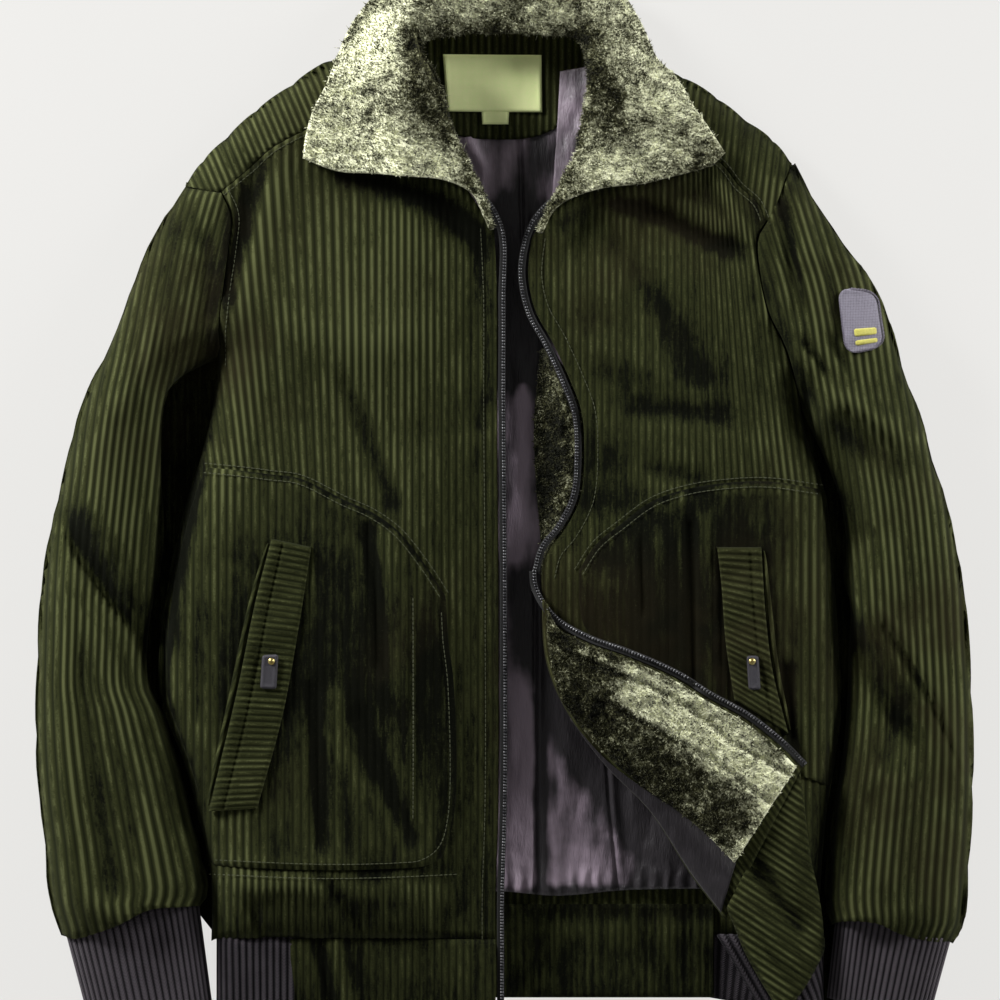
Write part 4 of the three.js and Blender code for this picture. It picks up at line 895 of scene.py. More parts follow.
def make_body():
    material = corduroy()
    rims_right = [armhole_right[2:], side_right, zip_right]
    front = Cloth()
    size = lattice(front, armhole_right[2:] + side_right[1:], zip_right, [(-205, WAIST), (-3, WAIST)], seam_right,
                   body_top, bend=lean(-200, 120, -0.13, -20, 230), rims=rims_right, shade=BODY_SHADE)
    piece = front.make("front_right_cloth", material, ["front_right"])
    front.lay(piece, *size)
    front = Cloth()
    size = lattice(front, front_edge_left, armhole_left[2:] + side_left[1:], [(160, WAIST), (226, WAIST)], seam_left,
                   body_top, bend=lean(210, 90, -0.12, 0, 230), rims=[zip_left, armhole_left[2:], side_left],
                   shade=BODY_SHADE)
    piece = front.make("front_left_cloth", material, ["front_left"])
    front.lay(piece, *size)

    for name, node, outline, seam, cap, slope in (
            ("yoke_right_cloth", "shoulder_yoke_right", shoulder_right, yoke_seam_right, (-220, 220), -0.42),
            ("yoke_left_cloth", "shoulder_yoke_left", shoulder_left, yoke_seam_left, (204, 235), 0.12)):
        yoke = Cloth()
        on_right = outline[-1][0] < 0
        lift = away(seam, -0.6 if on_right else 0.6)
        if on_right:
            low = [outline[-1]] + lift[::-1]
        else:
            low = lift + [outline[-1]]
        ends = [min(p[0] for p in outline + seam) + 1.5, max(p[0] for p in outline + seam) - 1.5]
        size = lattice(yoke, [(ends[0], 400), (ends[0], 100)], [(ends[1], 400), (ends[1], 100)], low, outline,
                       body_top, bend=lambda w, y, s=slope: s * (y - 260), row=3.5, rims=[seam, outline],
                       shade=BODY_SHADE)
        piece = yoke.make(name, material, [node])
        yoke.lay(piece, size[0], 100)

    back = Cloth()
    back_neck = [(72, 315), (40, 320), (0, 321.5), (-40, 320), (-72, 316)]
    low = lambda x, y: np.minimum(underside(BODY_RIMS, x, y), SIDE_HEIGHT - 0.3)
    size = lattice(back, armhole_right + side_right[1:], armhole_left + side_left[1:],
                   [(-205, WAIST), (226, WAIST)], (shoulder_left[::-1] + back_neck[1:] + shoulder_right[1:])[::-1],
                   low, per=3, row=14.0, facing=-1, thickness=0.9, rims=[])
    piece = back.make("back_cloth", material, ["back_panel"])
    back.lay(piece, size[0], size[1], rests_on=[])


def sleeve_bend(outer, inner, elbow):
    """Wales lean a little with the arm down to the elbow, and fan out between its edges below it."""
    outer, inner = smooth_line(outer), smooth_line(inner)
    root = limit(outer, 1, elbow)
    reach = limit(inner, 1, elbow) - root

    def bend(w, y):
        edge = limit(outer, 1, y)
        below = edge + (w - root) * 0.97 * (limit(inner, 1, y) - edge) / reach - w
        return mix(0.45 * (edge - root), below, ease_up(-y, -elbow - 30, -elbow + 40))

    return bend


cuff_top_right = [(-307, -303), (-300, -307), (-270, -299), (-245, -287), (-222, -285), (-210, -284)]
cuff_top_left = [(317, -309), (302, -309), (280, -304), (265, -297), (245, -295), (232, -296)]


def make_sleeves():
    material = corduroy()
    sides = (
        ("sleeve_right_cloth", "sleeve_right", away(armhole_right, -0.9), outer_right, inner_right, cuff_top_right, -112),
        ("sleeve_left_cloth", "sleeve_left", away(armhole_left, 1.2), outer_left, inner_left, cuff_top_left, -100),
    )
    for name, node, armhole, outer, inner, foot, elbow in sides:
        sleeve = Cloth()
        outer = [armhole[0]] + outer[1:]
        inside = armhole[2:] + inner[1:]
        on_right = outer[0][0] < 0
        left, right = (outer, inside) if on_right else (inside, outer)
        cap = armhole[:3] if on_right else armhole[:3][::-1]
        foot = foot if on_right else foot[::-1]
        bend = sleeve_bend(outer, inside, elbow)
        size = lattice(sleeve, left, right, foot, cap, sleeve_top, bend=bend, rims=[armhole, outer, inside[2:]], wale=size_of("wale_sleeve"),
                       per=5, shade=SLEEVE_SHADE)
        low = lambda x, y: np.minimum(underside(SLEEVE_RIMS, x, y), SIDE_HEIGHT)
        lattice(sleeve, left, right, foot, cap, low, bend=bend, per=3, row=11.0, facing=-1, rims=[])
        piece = sleeve.make(name, material, [node])
        sleeve.lay(piece, size[0] * 2, size[1], rests_on=[])




def raised(lift):
    return lambda x, y: body_top(x, y) + lift


def make_pockets():
    material = corduroy()
    panel = Cloth()
    side = [(-206, 23), (-212, 10), (-222, -26), (-229, -62), (-233, -92), (-233, -140), (-225, -165), (-215, -194),
            (-208, -223), (-204, -252)]
    inner = pocket_top_right[7:] + [(-36, -98), (-32, -130), (-32, -222), (-40, -250)]
    foot = [(-204, -256), (-127, -259), (-71, -258), (-51, -256), (-40, -250)]
    top = [(-206, 23)] + pocket_top_right
    size = lattice(panel, side, inner, foot, top, raised(2.0), wale=size_of("wale_panel_right"), per=5, thickness=0.6,
                   rims=[top, inner[1:], foot], shade=PANEL_SHADE)
    piece = panel.make("pocket_panel_right_cloth", material, ["pocket_panel_right"])
    panel.lay(piece, *size, rests_on=["front_right_cloth"])
    panel = Cloth()
    top = pocket_top_left
    side = [(225, 8), (229, -48), (232, -110), (230, -200)]
    foot = [(55, -70), (60, -90), (100, -125), (140, -150), (180, -180), (230, -200)]
    size = lattice(panel, [(55, 20), (55, -90)], side, foot, top, raised(2.0), wale=size_of("wale_panel_left"), per=5,
                   thickness=0.6, rims=[top], shade=PANEL_SHADE)
    piece = panel.make("pocket_panel_left_cloth", material, ["pocket_panel_left"])
    panel.lay(piece, *size, rests_on=["front_left_cloth"])


# ---------------------------------------------------------------- stage

def soft_light(name, watts, size, place, aim, tint=(1, 1, 1)):
    """A square studio light, turned to face the garment."""
    light = bpy.data.lights.new(name, "AREA")
    light.energy, light.size, light.color = watts, size, tint
    lamp = bpy.data.objects.new(name, light)
    lamp.location = place
    way = Vector(aim) - Vector(place)
    lamp.rotation_euler = way.to_track_quat("-Z", "Y").to_euler()
    bpy.context.scene.collection.objects.link(lamp)


def make_stage():
    fin = Finish("pale_floor", Roughness=0.95)
    here = fin.place()
    soft = fin.noise(here, 6.0, 2.0)
    fin.set(Base_Color=fin.mix(soft, (0.080, 0.079, 0.077), (0.086, 0.085, 0.083)))
    fin.shader.inputs["Specular IOR Level"].default_value = 0.0
    fin.shader.inputs["Emission Color"].default_value = (1.0, 0.99, 0.965, 1)
    fin.shader.inputs["Emission Strength"].default_value = 0.735
    out = np.array([0, 600, 1500, 3000, 3600, 4200, 4800, 5400, 6000, 6600])
    up = np.array([0, 0, 0, 0, 90, 330, 720, 1280, 2000, 2900]) - 0.05
    turns = np.linspace(0, 2 * np.pi, 73)
    rings = np.stack([np.outer(out, np.cos(turns)), np.outer(out, np.sin(turns)), np.outer(up, np.ones(73))], -1)
    ids = np.arange(rings.shape[0] * 73).reshape(rings.shape[0], 73)
    quads = np.stack([ids[:-1, :-1], ids[1:, :-1], ids[1:, 1:], ids[:-1, 1:]], -1).reshape(-1, 4)
    floor = make_mesh("floor", rings.reshape(-1, 3), [quads], fin.material)
    world = bpy.data.worlds.new("studio")
    bpy.context.scene.world = world
    world.use_nodes = True
    world.node_tree.nodes["Background"].inputs["Color"].default_value = (1.0, 1.0, 0.98, 1)
    world.node_tree.nodes["Background"].inputs["Strength"].default_value = 0.17
    soft_light("key", 68, 0.55, (-1.45, 1.15, 0.66), (0, 0, 0))
    soft_light("second", 27, 0.5, (1.50, 0.70, 0.60), (0.05, 0.05, 0))
    data = bpy.data.cameras.new("camera")
    camera = bpy.data.objects.new("camera", data)
    bpy.context.scene.collection.objects.link(camera)
    bpy.context.scene.camera = camera
    camera.location = (SHIFT[0] / 1000, SHIFT[1] / 1000, VIEW_HEIGHT / 1000)
    data.sensor_width = 36
    data.lens = 36 * VIEW_HEIGHT / 700
    bpy.context.scene.view_settings.view_transform = "Standard"

# ---------------------------------------------------------------- more finishes

def plush_finish():
    """Short crushed pile: olive roots and frosted tips in uneven patches; the tone carries painted highlights and
    painted shade, dark where it is low.
    """
    if "crushed_plush" in bpy.data.materials:
        return bpy.data.materials["crushed_plush"]
    fin = Finish("crushed_plush", Roughness=0.95)
    fin.shader.inputs["Specular IOR Level"].default_value = 0.1
    fin.shader.inputs["Sheen Weight"].default_value = 0.05
    here = fin.place()
    clump = fin.noise(here, 620.0, 2.0, 0.6)
    patch_ = fin.noise(here, 46.0, 3.0, 0.6)
    # The tone holds the painted light and shade of the base and of each tip.
    tip = fin.tone()
    blotch = fin.noise(here, 190.0, 3.0, 0.65)
    light = 1.1 * (clump - 0.5) + 1.25 * (blotch - 0.5) + 1.1 * (patch_ - 0.5) + 1.25 * tip
    colour = fin.mix(light.rise(-0.25, 0.55), shade_of("plush_gap_and_painted_shade"), shade_of("plush_root"))
    colour = fin.mix(light.rise(0.10, 0.90), colour, shade_of("plush_tip_and_painted_highlight"))
    fin.set(Base_Color=colour)
    fin.bump(fin.noise(here, 900.0, 3.0, 0.7) + clump, 0.9, 0.0012)
    return fin.material


def satin_finish():
    """Polyester lining: dusty purple, a soft broken shine."""
    if "satin_lining" in bpy.data.materials:
        return bpy.data.materials["satin_lining"]
    fin = Finish("satin_lining", IOR=1.45)
    fin.shader.inputs["Specular IOR Level"].default_value = 0.6
    fin.shader.inputs["Sheen Weight"].default_value = 0.15
    here = fin.place()
    weave = fin.noise(fin.stretched(here, 2200, 260, 260), 1.0, 2.0)
    cloudy = fin.noise(here, 26.0, 3.0, 0.6)
    creased = fin.noise(fin.stretched(here, 150, 34, 60), 1.0, 3.0, 0.6)
    # The tone carries painted light and shade; creased darkens the satin as painted shade in its creases.
    bright = (1.3 * (cloudy - 0.5) + 0.8 * (creased - 0.5) + fin.tone() + 0.45).rise(-0.1, 1.1)
    colour = fin.mix(bright, shade_of("lining_painted_shade"), shade_of("lining"))
    fin.set(Base_Color=colour, Roughness=0.30 + 0.2 * cloudy)
    fin.bump(0.25 * weave + creased + 0.5 * cloudy, 0.55, 0.0025)
    return fin.material


def knit_finish():
    """Ribbed wool knit: small stitches that run down each rib."""
    if "rib_knit" in bpy.data.materials:
        return bpy.data.materials["rib_knit"]
    fin = Finish("rib_knit", Roughness=0.95)
    fin.shader.inputs["Specular IOR Level"].default_value = 0.08
    fin.shader.inputs["Sheen Weight"].default_value = 0.04
    here = fin.place()
    cut, across, along = fin.cut()
    crest = 1 - abs(2 * across.fract() - 1) ** 2.0
    slant = (along * 2.2 + 1.2 * abs(2 * across.fract() - 1)).fract()
    stitch = 1 - abs(2 * slant - 1) ** 2.0
    fluff = fin.noise(here, 1400.0, 3.0, 0.7)
    faded = fin.noise(here, 60.0, 3.0, 0.6)
    light = (0.75 * crest + 0.25 * stitch + 0.6 * (fluff - 0.5) + 0.3 * (faded - 0.5)).rise(0.25, 1.15)
    # The tone makes the cuffs lighter and the side inserts darker, as painted light and shade.
    fin.set(Base_Color=fin.mix((light + 0.3 * fin.tone()).held(), shade_of("knit_gap_painted_shade"), shade_of("knit")))
    fin.bump(0.7 * stitch + 0.6 * fluff, 0.8, 0.0007)
    return fin.material


def woven_finish(name, light, dark, scale=1500.0, roughness=0.75, sheen=0.1):
    """A plain narrow weave, as of a label, a tab, a tape or a thread."""
    if name in bpy.data.materials:
        return bpy.data.materials[name]
    fin = Finish(name, Roughness=roughness)
    fin.shader.inputs["Sheen Weight"].default_value = sheen
    here = fin.place()
    apart = fin.node("ShaderNodeSeparateXYZ", inputs={0: here})
    up = Socket(fin, apart.output.node.outputs[1])
    warp = 1 - abs(2 * (apart * scale).fract() - 1) ** 2.0
    weft = 1 - abs(2 * (up * scale).fract() - 1) ** 2.0
    grain = fin.noise(here, 700.0, 3.0, 0.6)
    soil = fin.noise(here, 60.0, 3.0, 0.5)
    share = (0.35 * warp + 0.35 * weft + 0.5 * grain + 0.3 * (soil - 0.5)).rise(0.2, 0.95)
    fin.set(Base_Color=fin.mix(share, dark, light))
    fin.bump(0.5 * warp + 0.5 * weft + 0.4 * grain, 0.5, 0.0003)
    return fin.material


def metal_finish(name, light, dark, roughness=0.38):
    """Plated zinc, rubbed brighter in places."""
    if name in bpy.data.materials:
        return bpy.data.materials[name]
    fin = Finish(name, Metallic=0.85)
    here = fin.place()
    rubbed = fin.noise(here, 300.0, 3.0, 0.6)
    fine = fin.noise(here, 2600.0, 2.0, 0.5)
    fin.set(Base_Color=fin.mix(rubbed.rise(0.3, 0.7), dark, light),
            Roughness=roughness + 0.2 * (fine - 0.5))
    fin.bump(fine + rubbed, 0.25, 0.0002)
    return fin.material


# ---------------------------------------------------------------- shapes

def offset_of(points, distance_, ring=False, facing=1):
    return points + grid_normals(points, ring) * distance_ * facing


def tufts(name, points, normals, length, width, seed, painted_tip_light=None):
    """Short leaning tips of pile, one at each point."""
    rng = np.random.default_rng(seed)
    count = len(points)
    side = np.cross(normals, rng.normal(size=(count, 3)))
    side /= np.linalg.norm(side, axis=1, keepdims=True)
    other = np.cross(normals, side)
    reach = length * rng.uniform(0.55, 1.25, (count, 1))
    lie = rng.normal(0, 0.55, (count, 1)) * side + rng.normal(0, 0.55, (count, 1)) * other
    tip = points + (normals + lie) * reach
    base = points - normals * 0.8
    half = width * rng.uniform(0.7, 1.3, (count, 1))
    corners = [base + side * half, base - side * half * 0.5 + other * half * 0.87,
               base - side * half * 0.5 - other * half * 0.87, tip]
    cloth = Cloth()
    every = np.stack(corners, 1).reshape(-1, 3)
    ids = np.arange(count)[:, None] * 4
    faces = np.vstack([ids + np.array([0, 1, 3]), ids + np.array([1, 2, 3]), ids + np.array([2, 0, 3]),
                       ids + np.array([0, 2, 1])])
    # Each tip's painted light and shade, brighter at its point.
    shade = rng.random(count) ** 1.5 if painted_tip_light is None else painted_tip_light
    tone = np.stack([shade * 0.45, shade * 0.45, shade * 0.45, shade * 0.95 + 0.05], 1).ravel()
    cloth.put(every, [faces], tone=tone)
    return cloth.make(name, plush_finish())


def scatter(points, normals, spacing, seed):
    """Places on a grid's surface about spacing apart, with the normals there."""
    a, b = points[:-1, :-1], points[1:, 1:]
    c, d = points[1:, :-1], points[:-1, 1:]
    area = np.linalg.norm(np.cross(b - a, d - c), axis=-1) / 2
    rng = np.random.default_rng(seed)
    chance = (area / spacing ** 2).ravel()
    chosen = np.repeat(np.arange(len(chance)), rng.poisson(chance))
    u, v = rng.random((2, len(chosen), 1))
    cells = points.shape[1] - 1
    i, j = chosen // cells, chosen % cells

    def at(values):
        return mix(mix(values[i, j], values[i, j + 1], u), mix(values[i + 1, j], values[i + 1, j + 1], u), v)

    n = at(normals)
    return at(points), n / np.linalg.norm(n, axis=1, keepdims=True)


def plush_piece(name, node, base, thickness, size, rests_on, seed, pale=None, length=0.0,
                straight_down=False):
    """A pile fabric: bumpy cloth with tips standing on it."""
    normals = grid_normals(base)
    x, y = base[..., 0], base[..., 1]
    bumps = 1.1 * (ripples(x, y, 3.1, seed) - 0.5) + 1.5 * (ripples(x, y, 8.0, seed + 1) - 0.5)
    top = base + normals * (bumps[..., None] - 0.6)
    under = base - (np.array([0, 0, 1.0]) if straight_down else normals) * thickness
    cloth = Cloth()
    # pale gives painted highlights and painted shade across the pile.
    shade = np.zeros(x.shape) if pale is None else pale(x - SHIFT[0], y - SHIFT[1])
    cloth.grid(top, under, tone=0.6 * shade, plain=base)
    piece = cloth.make(name, plush_finish(), [node])
    spots, ups = scatter(top, grid_normals(top), size_of("pile_spacing"), seed + 2)
    rng = np.random.default_rng(seed + 3)
    near = np.full(len(spots), 0.3) if pale is None else pale(spots[:, 0] - SHIFT[0], spots[:, 1] - SHIFT[1])
    clumps = 0.25 + 1.1 * ripples(spots[:, 0], spots[:, 1], 4.5, seed + 5)
    light = np.clip(near * clumps * (0.05 + 1.3 * rng.random(len(spots))) + 0.06 * rng.random(len(spots)), 0, 1.1)
    pile = tufts(name.replace("cloth", "pile"), spots, ups, length or size_of("pile_length"), size_of("pile_width"), seed + 4, light)
    cloth.lay(piece, *size, rests_on=rests_on, with_pieces=[pile])
    return piece


def collar_top(x, y, across, down):
    from_inner = 1 - down
    behind = ease_up(y, 296, 322)
    roll = 41 + 5 * np.sin(np.pi * np.clip(from_inner * 1.1, 0, 1)) - 5 * (1 - quarter_round(from_inner, 0.25))
    on_body = np.maximum.reduce([body_top(x + dx, y + dy) for dx, dy in ((0, 0), (5, 0), (-5, 0), (0, 5), (0, -5))])
    front = mix(roll, on_body + 6.6, ease_up(from_inner, 0.45, 1))
    rear = mix(mix(30, 40, quarter_round(from_inner, 0.5)), 16, ease_up(from_inner, 0.55, 1))
    return mix(front, rear, behind)


def make_collar():
    shape = patch(collar_outer, collar_inner, collar_end_right[::-1], collar_end_left[::-1])
    across, down = np.meshgrid(np.linspace(0, 1, 230), np.linspace(0, 1, 54))
    x, y = shape(across, down)
    z = collar_top(x, y, across, down)
    z += 1.6 * np.exp(-(distance(seen((430, 60), (400, 110), (395, 165)), x, y) / 14) ** 2)
    z -= 2.2 * np.exp(-(distance(seen((600, 90), (610, 140), (640, 175)), x, y) / 12) ** 2)
    z += 1.5 * np.exp(-(distance(seen((660, 75), (690, 130), (712, 150)), x, y) / 10) ** 2)
    base = placed(x, y, z)

    def pale(px, py):
        # Painted highlights on the left leaf, the right leaf, the rims and the back; painted shade (dark) near the
        # neck.
        left = 0.95 * np.exp(-(distance(seen((365, 60), (340, 110), (330, 150), (390, 160), (440, 175)), px, py) / 27) ** 2)
        right = 0.5 * np.exp(-(distance(seen((640, 70), (690, 130), (640, 165), (600, 175)), px, py) / 26) ** 2)
        rim = 0.5 * np.exp(-(distance(seen((623, 5), (649, 42), (686, 82), (724, 152)), px, py) / 3.5) ** 2)
        left_rim = 0.5 * np.exp(-(distance(seen((305, 155), (370, 172), (430, 182), (480, 205)), px, py) / 3.5) ** 2)
        rear = 0.34 * ease_up(py, 318, 338) * (np.abs(px) < 90)
        dark = 0.65 * np.exp(-(distance(seen((415, 60), (432, 110), (455, 160), (470, 190)), px, py) / 13) ** 2)
        dark += 0.5 * np.exp(-(distance(seen((590, 60), (575, 120), (560, 175)), px, py) / 12) ** 2)
        uneven = 0.6 * (ripples(px, py, 13, 3) - 0.45) + 0.4 * (ripples(px, py, 5, 4) - 0.5)
        return np.clip((left + 1.25 * right + rim + left_rim + 1.3 * rear) * (1 + uneven) + 0.2 - dark * 0.6, 0.08, 1.2)

    plush_piece("collar_cloth", "collar", base, 4.6, (430, 110), ("front_right_cloth", "front_left_cloth"), 11,
                pale=pale)


FACING_GROOVES = (
    seen((560, 645), (567, 652), (598, 666), (636, 680), (674, 697), (706, 720), (733, 742), (797, 779)),
    seen((596, 700), (632, 714), (668, 734), (713, 758), (733, 773), (775, 806)),
)


def make_facings():
    shape = patch([(28, 105), (36, 108)], [(28, -52), (31, -52)],
                  [(28, 105), (26, 81), (24, 60), (24, 35), (26, 0), (28, -24), (28, -52)],
                  [(36, 108), (49, 84), (57, 62), (59, 34), (56, 1), (45, -21), (31, -52)])
    across, down = np.meshgrid(np.linspace(0, 1, 26), np.linspace(0, 1, 110))
    x, y = shape(across, down)
    base = placed(x, y, mix(13, 22.0, ease_up(across, 0, 0.85)))
    # The upper facing in painted shade, with a painted highlight along one line.
    plush_piece("facing_upper_cloth", "facing_left_upper", base, 3.6, (42, 165), ("lining_back_cloth",), 31,
                pale=lambda px, py: -0.22 + 0.4 * np.exp(-(distance(seen((553, 380), (575, 440), (560, 505)), px, py) / 3) ** 2),
                length=2.2)

    edge = runner(flap_edge)
    line = runner([(31, -74), (33, -98), (37, -122), (44, -143), (74, -180), (98, -201), (122, -218), (143, -235), (165, -258)])
    across, along = np.meshgrid(np.linspace(0.02, 0.98, 54), np.linspace(0.05, 0.985, 130))
    start, end = line(along ** 0.8), edge(along)
    x, y = mix(start[..., 0], end[..., 0], across), mix(start[..., 1], end[..., 1], across)
    z = body_top(x, y) + FLAP_LIFT + 4.8
    for groove in FACING_GROOVES:
        z -= 3.0 * np.exp(-(distance(groove, x, y) / 1.5) ** 2)
    z += 1.8 * np.exp(-(distance(seen((680, 735), (760, 790)), x, y) / 12) ** 2)
    base = placed(x, y, z)

    def pale(px, py):
        # Painted highlights on the band, lips, edge, corner and foot; painted shade (dark) in the grooves.
        bright = 2.1 * np.exp(-(distance(seen((640, 690), (668, 706), (715, 738), (760, 775)), px, py) / 14) ** 2)
        lip = 0.5 * np.exp(-(distance(seen((580, 648), (650, 676), (720, 712), (795, 765)), px, py) / 3) ** 2)
        edge_light = 1.1 * np.exp(-(distance(seen((792, 778), (735, 862)), px, py) / 9) ** 2)
        corner = 0.25 * np.exp(-(distance(seen((600, 680), (620, 690)), px, py) / 9) ** 2)
        foot = 0.3 * np.exp(-(distance(seen((626, 779), (674, 812), (741, 857)), px, py) / 3) ** 2)
        dark = sum(np.exp(-(distance(groove, px, py) / 1.4) ** 2) for groove in FACING_GROOVES)
        uneven = 0.7 * (ripples(px, py, 11, 7) - 0.45) + 0.5 * (ripples(px, py, 4, 8) - 0.5)
        light = (bright + lip + edge_light + corner + foot + 0.22 * ease_up(px, 95, 160)) * (1 + uneven)
        return np.clip(light - 0.02 - 0.6 * dark, -0.08, 1.35)

    plush_piece("facing_lower_cloth", "facing_left_lower", base, 3.8, (185, 95), ("turnback_cloth",), 41, pale=pale,
                straight_down=True)


def turned(from_at, to_at, downs, acrosses, height, drop=CREASE_ROUND, steps=8):
    """Cloth folded over at from_at: round the crease, then flat as far as to_at."""
    c, e = from_at(downs), to_at(downs)
    width = np.linalg.norm(e - c, axis=1)[:, None]
    way = (e - c) / width
    drop = np.minimum(drop, 0.6 * width)
    low = height(c[:, 0], c[:, 1])[:, None]
    angle = np.pi * (np.linspace(0, 1, steps + 1) - 0.5)[None]
    inwards = drop * (1 - np.cos(angle))
    bend = placed(c[:, :1] + way[:, :1] * inwards, c[:, 1:] + way[:, 1:] * inwards, low - drop * (1 - np.sin(angle)))
    along = mix(drop / width, 1, np.asarray(acrosses)[None, 1:])
    x, y = mix(c[:, :1], e[:, :1], along), mix(c[:, 1:], e[:, 1:], along)
    return np.concatenate([bend, placed(x, y, height(x, y))], 1)


def flap_top(x, y):
    return body_top(x, y) + FLAP_LIFT


def make_turnback():
    cloth = Cloth()
    downs = np.linspace(0.05, 1, 95)
    grid = turned(runner(crease), runner(flap_edge), downs, np.linspace(0, 1, 40), flap_top)
    normals = grid_normals(grid)
    run = np.concatenate([np.zeros((len(downs), 1)), np.cumsum(np.linalg.norm(np.diff(grid, axis=1), axis=-1), 1)], 1)
    phase = run / 4.6
    uv = np.stack([phase, np.broadcast_to(downs[:, None] * 60, phase.shape)], -1)
    cloth.grid(grid, grid - normals * 1.9, uv)
    piece = cloth.make("turnback_cloth", corduroy(), ["front_left_turnback"])
    cloth.lay(piece, 190, 220, held="folded", rests_on=["front_left_cloth"])

    lining = Cloth()
    at, edge = runner(crease), runner(flap_edge)
    line = runner([(46, -150), (74, -182), (98, -201), (122, -218), (143, -235), (165, -258)])
    across, along = np.meshgrid(np.linspace(0.03, 1.1, 30), np.linspace(0.36, 0.985, 90))
    start, end = at(along), line(np.clip((along - 0.34) / 0.65, 0, 1))
    x, y = mix(start[..., 0], end[..., 0], across), mix(start[..., 1], end[..., 1], across)
    z = flap_top(x, y) + 1.8 + 1.2 * (ripples(x + y, y - x, 14, 5) - 0.5)
    z += 0.8 * np.sin((x + 0.9 * y) / 5.0 + 2 * ripples(x, y, 30, 6)) * ease_up(-y, 150, 260)
    z -= 1.0 * (1 - quarter_round(across, 0.12))
    top = placed(x, y, z)
    # The lining on the turned corner is darkened as painted shade.
    lining.grid(top, top - np.array([0, 0, 0.8]), tone=np.full(x.shape, -0.75))
    piece = lining.make("lining_front_left_cloth", satin_finish(), ["lining_front_left"])
    lining.lay(piece, 185, 42, rests_on=["turnback_cloth"])


def lining_top(x, y):
    wave = np.sin(x / 17 + 1.2 * np.sin(y / 70))
    z = 3.4 + 3 * np.maximum(0, wave) * ease_up(-y, -60, 40)
    z += 2.2 * ripples(x * 1.6, y * 0.45, 16, 71) + 1.0 * ripples(x + 0.6 * y, y - 0.4 * x, 7, 72)
    z += 2.5 * np.exp(-(distance(seen((468, 140), (485, 170), (478, 205), (490, 240)), x, y) / 4) ** 2)
    for seam in (seen((535, 560), (535, 700), (535, 892)), seen((603, 700), (609, 800), (618, 892)),
                 seen((520, 130), (522, 240))):
        z += 1.6 * np.exp(-(distance(away(seam, 3.4), x, y) / 2.6) ** 2) - 2.0 * np.exp(-(distance(seam, x, y) / 1.1) ** 2)
    pucker = ease_up(-y, 250, 278)
    z += pucker * (1.5 * np.sin(x / 1.55 + 2.5 * ripples(x, y, 9, 73)) + 1.2)
    return z


# Painted light and shade on the lining: a dark strip between the fronts, bright folds, painted shade near the flap and
# the hem.
LINING_SHADE = painted_light_and_shade(
    ((-10, -270, 60, 0.3),),
    ((seen((520, 680), (524, 760), (522, 890)), 9, 0.8), (seen((575, 800), (585, 870)), 14, 0.4),
     (seen((545, 600), (565, 690), (600, 760)), 20, -2.0), (seen((522, 385), (526, 430), (520, 500), (514, 555)), 5, 1.0),
     (seen((509, 225), (513, 290), (515, 362)), 16, -2.6), (seen((540, 700), (541, 890)), 4, -1.5),
     (seen((620, 770), (650, 840), (690, 900)), 14, -1.2), (seen((470, 140), (480, 180), (482, 210)), 7, 0.7),
     (seen((545, 130), (530, 200), (520, 240)), 12, -0.6), (seen((640, 800), (680, 860), (715, 895)), 22, -1.0),
     (seen((508, 893), (600, 893), (710, 905)), 5, -1.0)))


def make_lining():
    cloth = Cloth()
    top = [(-175, 190), (-110, 262), (-58, 262), (0, 257), (46, 262), (56, 296), (62, 290), (110, 262), (172, 190)]
    bottom = [(-182, -272), (-60, -276), (0, -274), (40, -277), (90, -273), (200, -272)]
    shape = patch([(-175, 190), (-58, 258), (0, 260), (50, 262), (172, 190)], bottom,
                  [(-175, 190), (-180, 60), (-200, -90), (-182, -272)], [(172, 190), (190, 60), (212, -90), (200, -272)])
    rows = np.concatenate([np.linspace(0, 0.9, 100), np.linspace(0.9, 1, 22)[1:]])
    columns = np.unique(np.concatenate([np.linspace(0, 0.38, 14), np.linspace(0.38, 0.90, 215), np.linspace(0.90, 1, 6)]))
    across, down = np.meshgrid(columns, rows)
    x, y = shape(across, down)
    z = lining_top(x, y)
    points = placed(x, y, z)
    cloth.grid(points, points - np.array([0, 0, 0.7]), tone=LINING_SHADE(x, y))
    piece = cloth.make("lining_back_cloth", satin_finish(), ["lining_back"])
    cloth.lay(piece, 420, 560)

    side = Cloth()
    shape = patch([(42, 300), (64, 304)], [(36, 205), (60, 236)], [(42, 300), (40, 262), (36, 205)],
                  [(64, 304), (62, 270), (60, 236)])
    across, down = np.meshgrid(np.linspace(0, 1, 20), np.linspace(0, 1, 60))
    x, y = shape(across, down)
    points = placed(x, y, 8 + 6 * across + 1.5 * ripples(x, y * 0.5, 6, 76))
    side.grid(points, points - np.array([0, 0, 0.7]))
    piece = side.make("lining_neck_cloth", satin_finish())
    side.lay(piece, 24, 100, rests_on=["lining_back_cloth"])


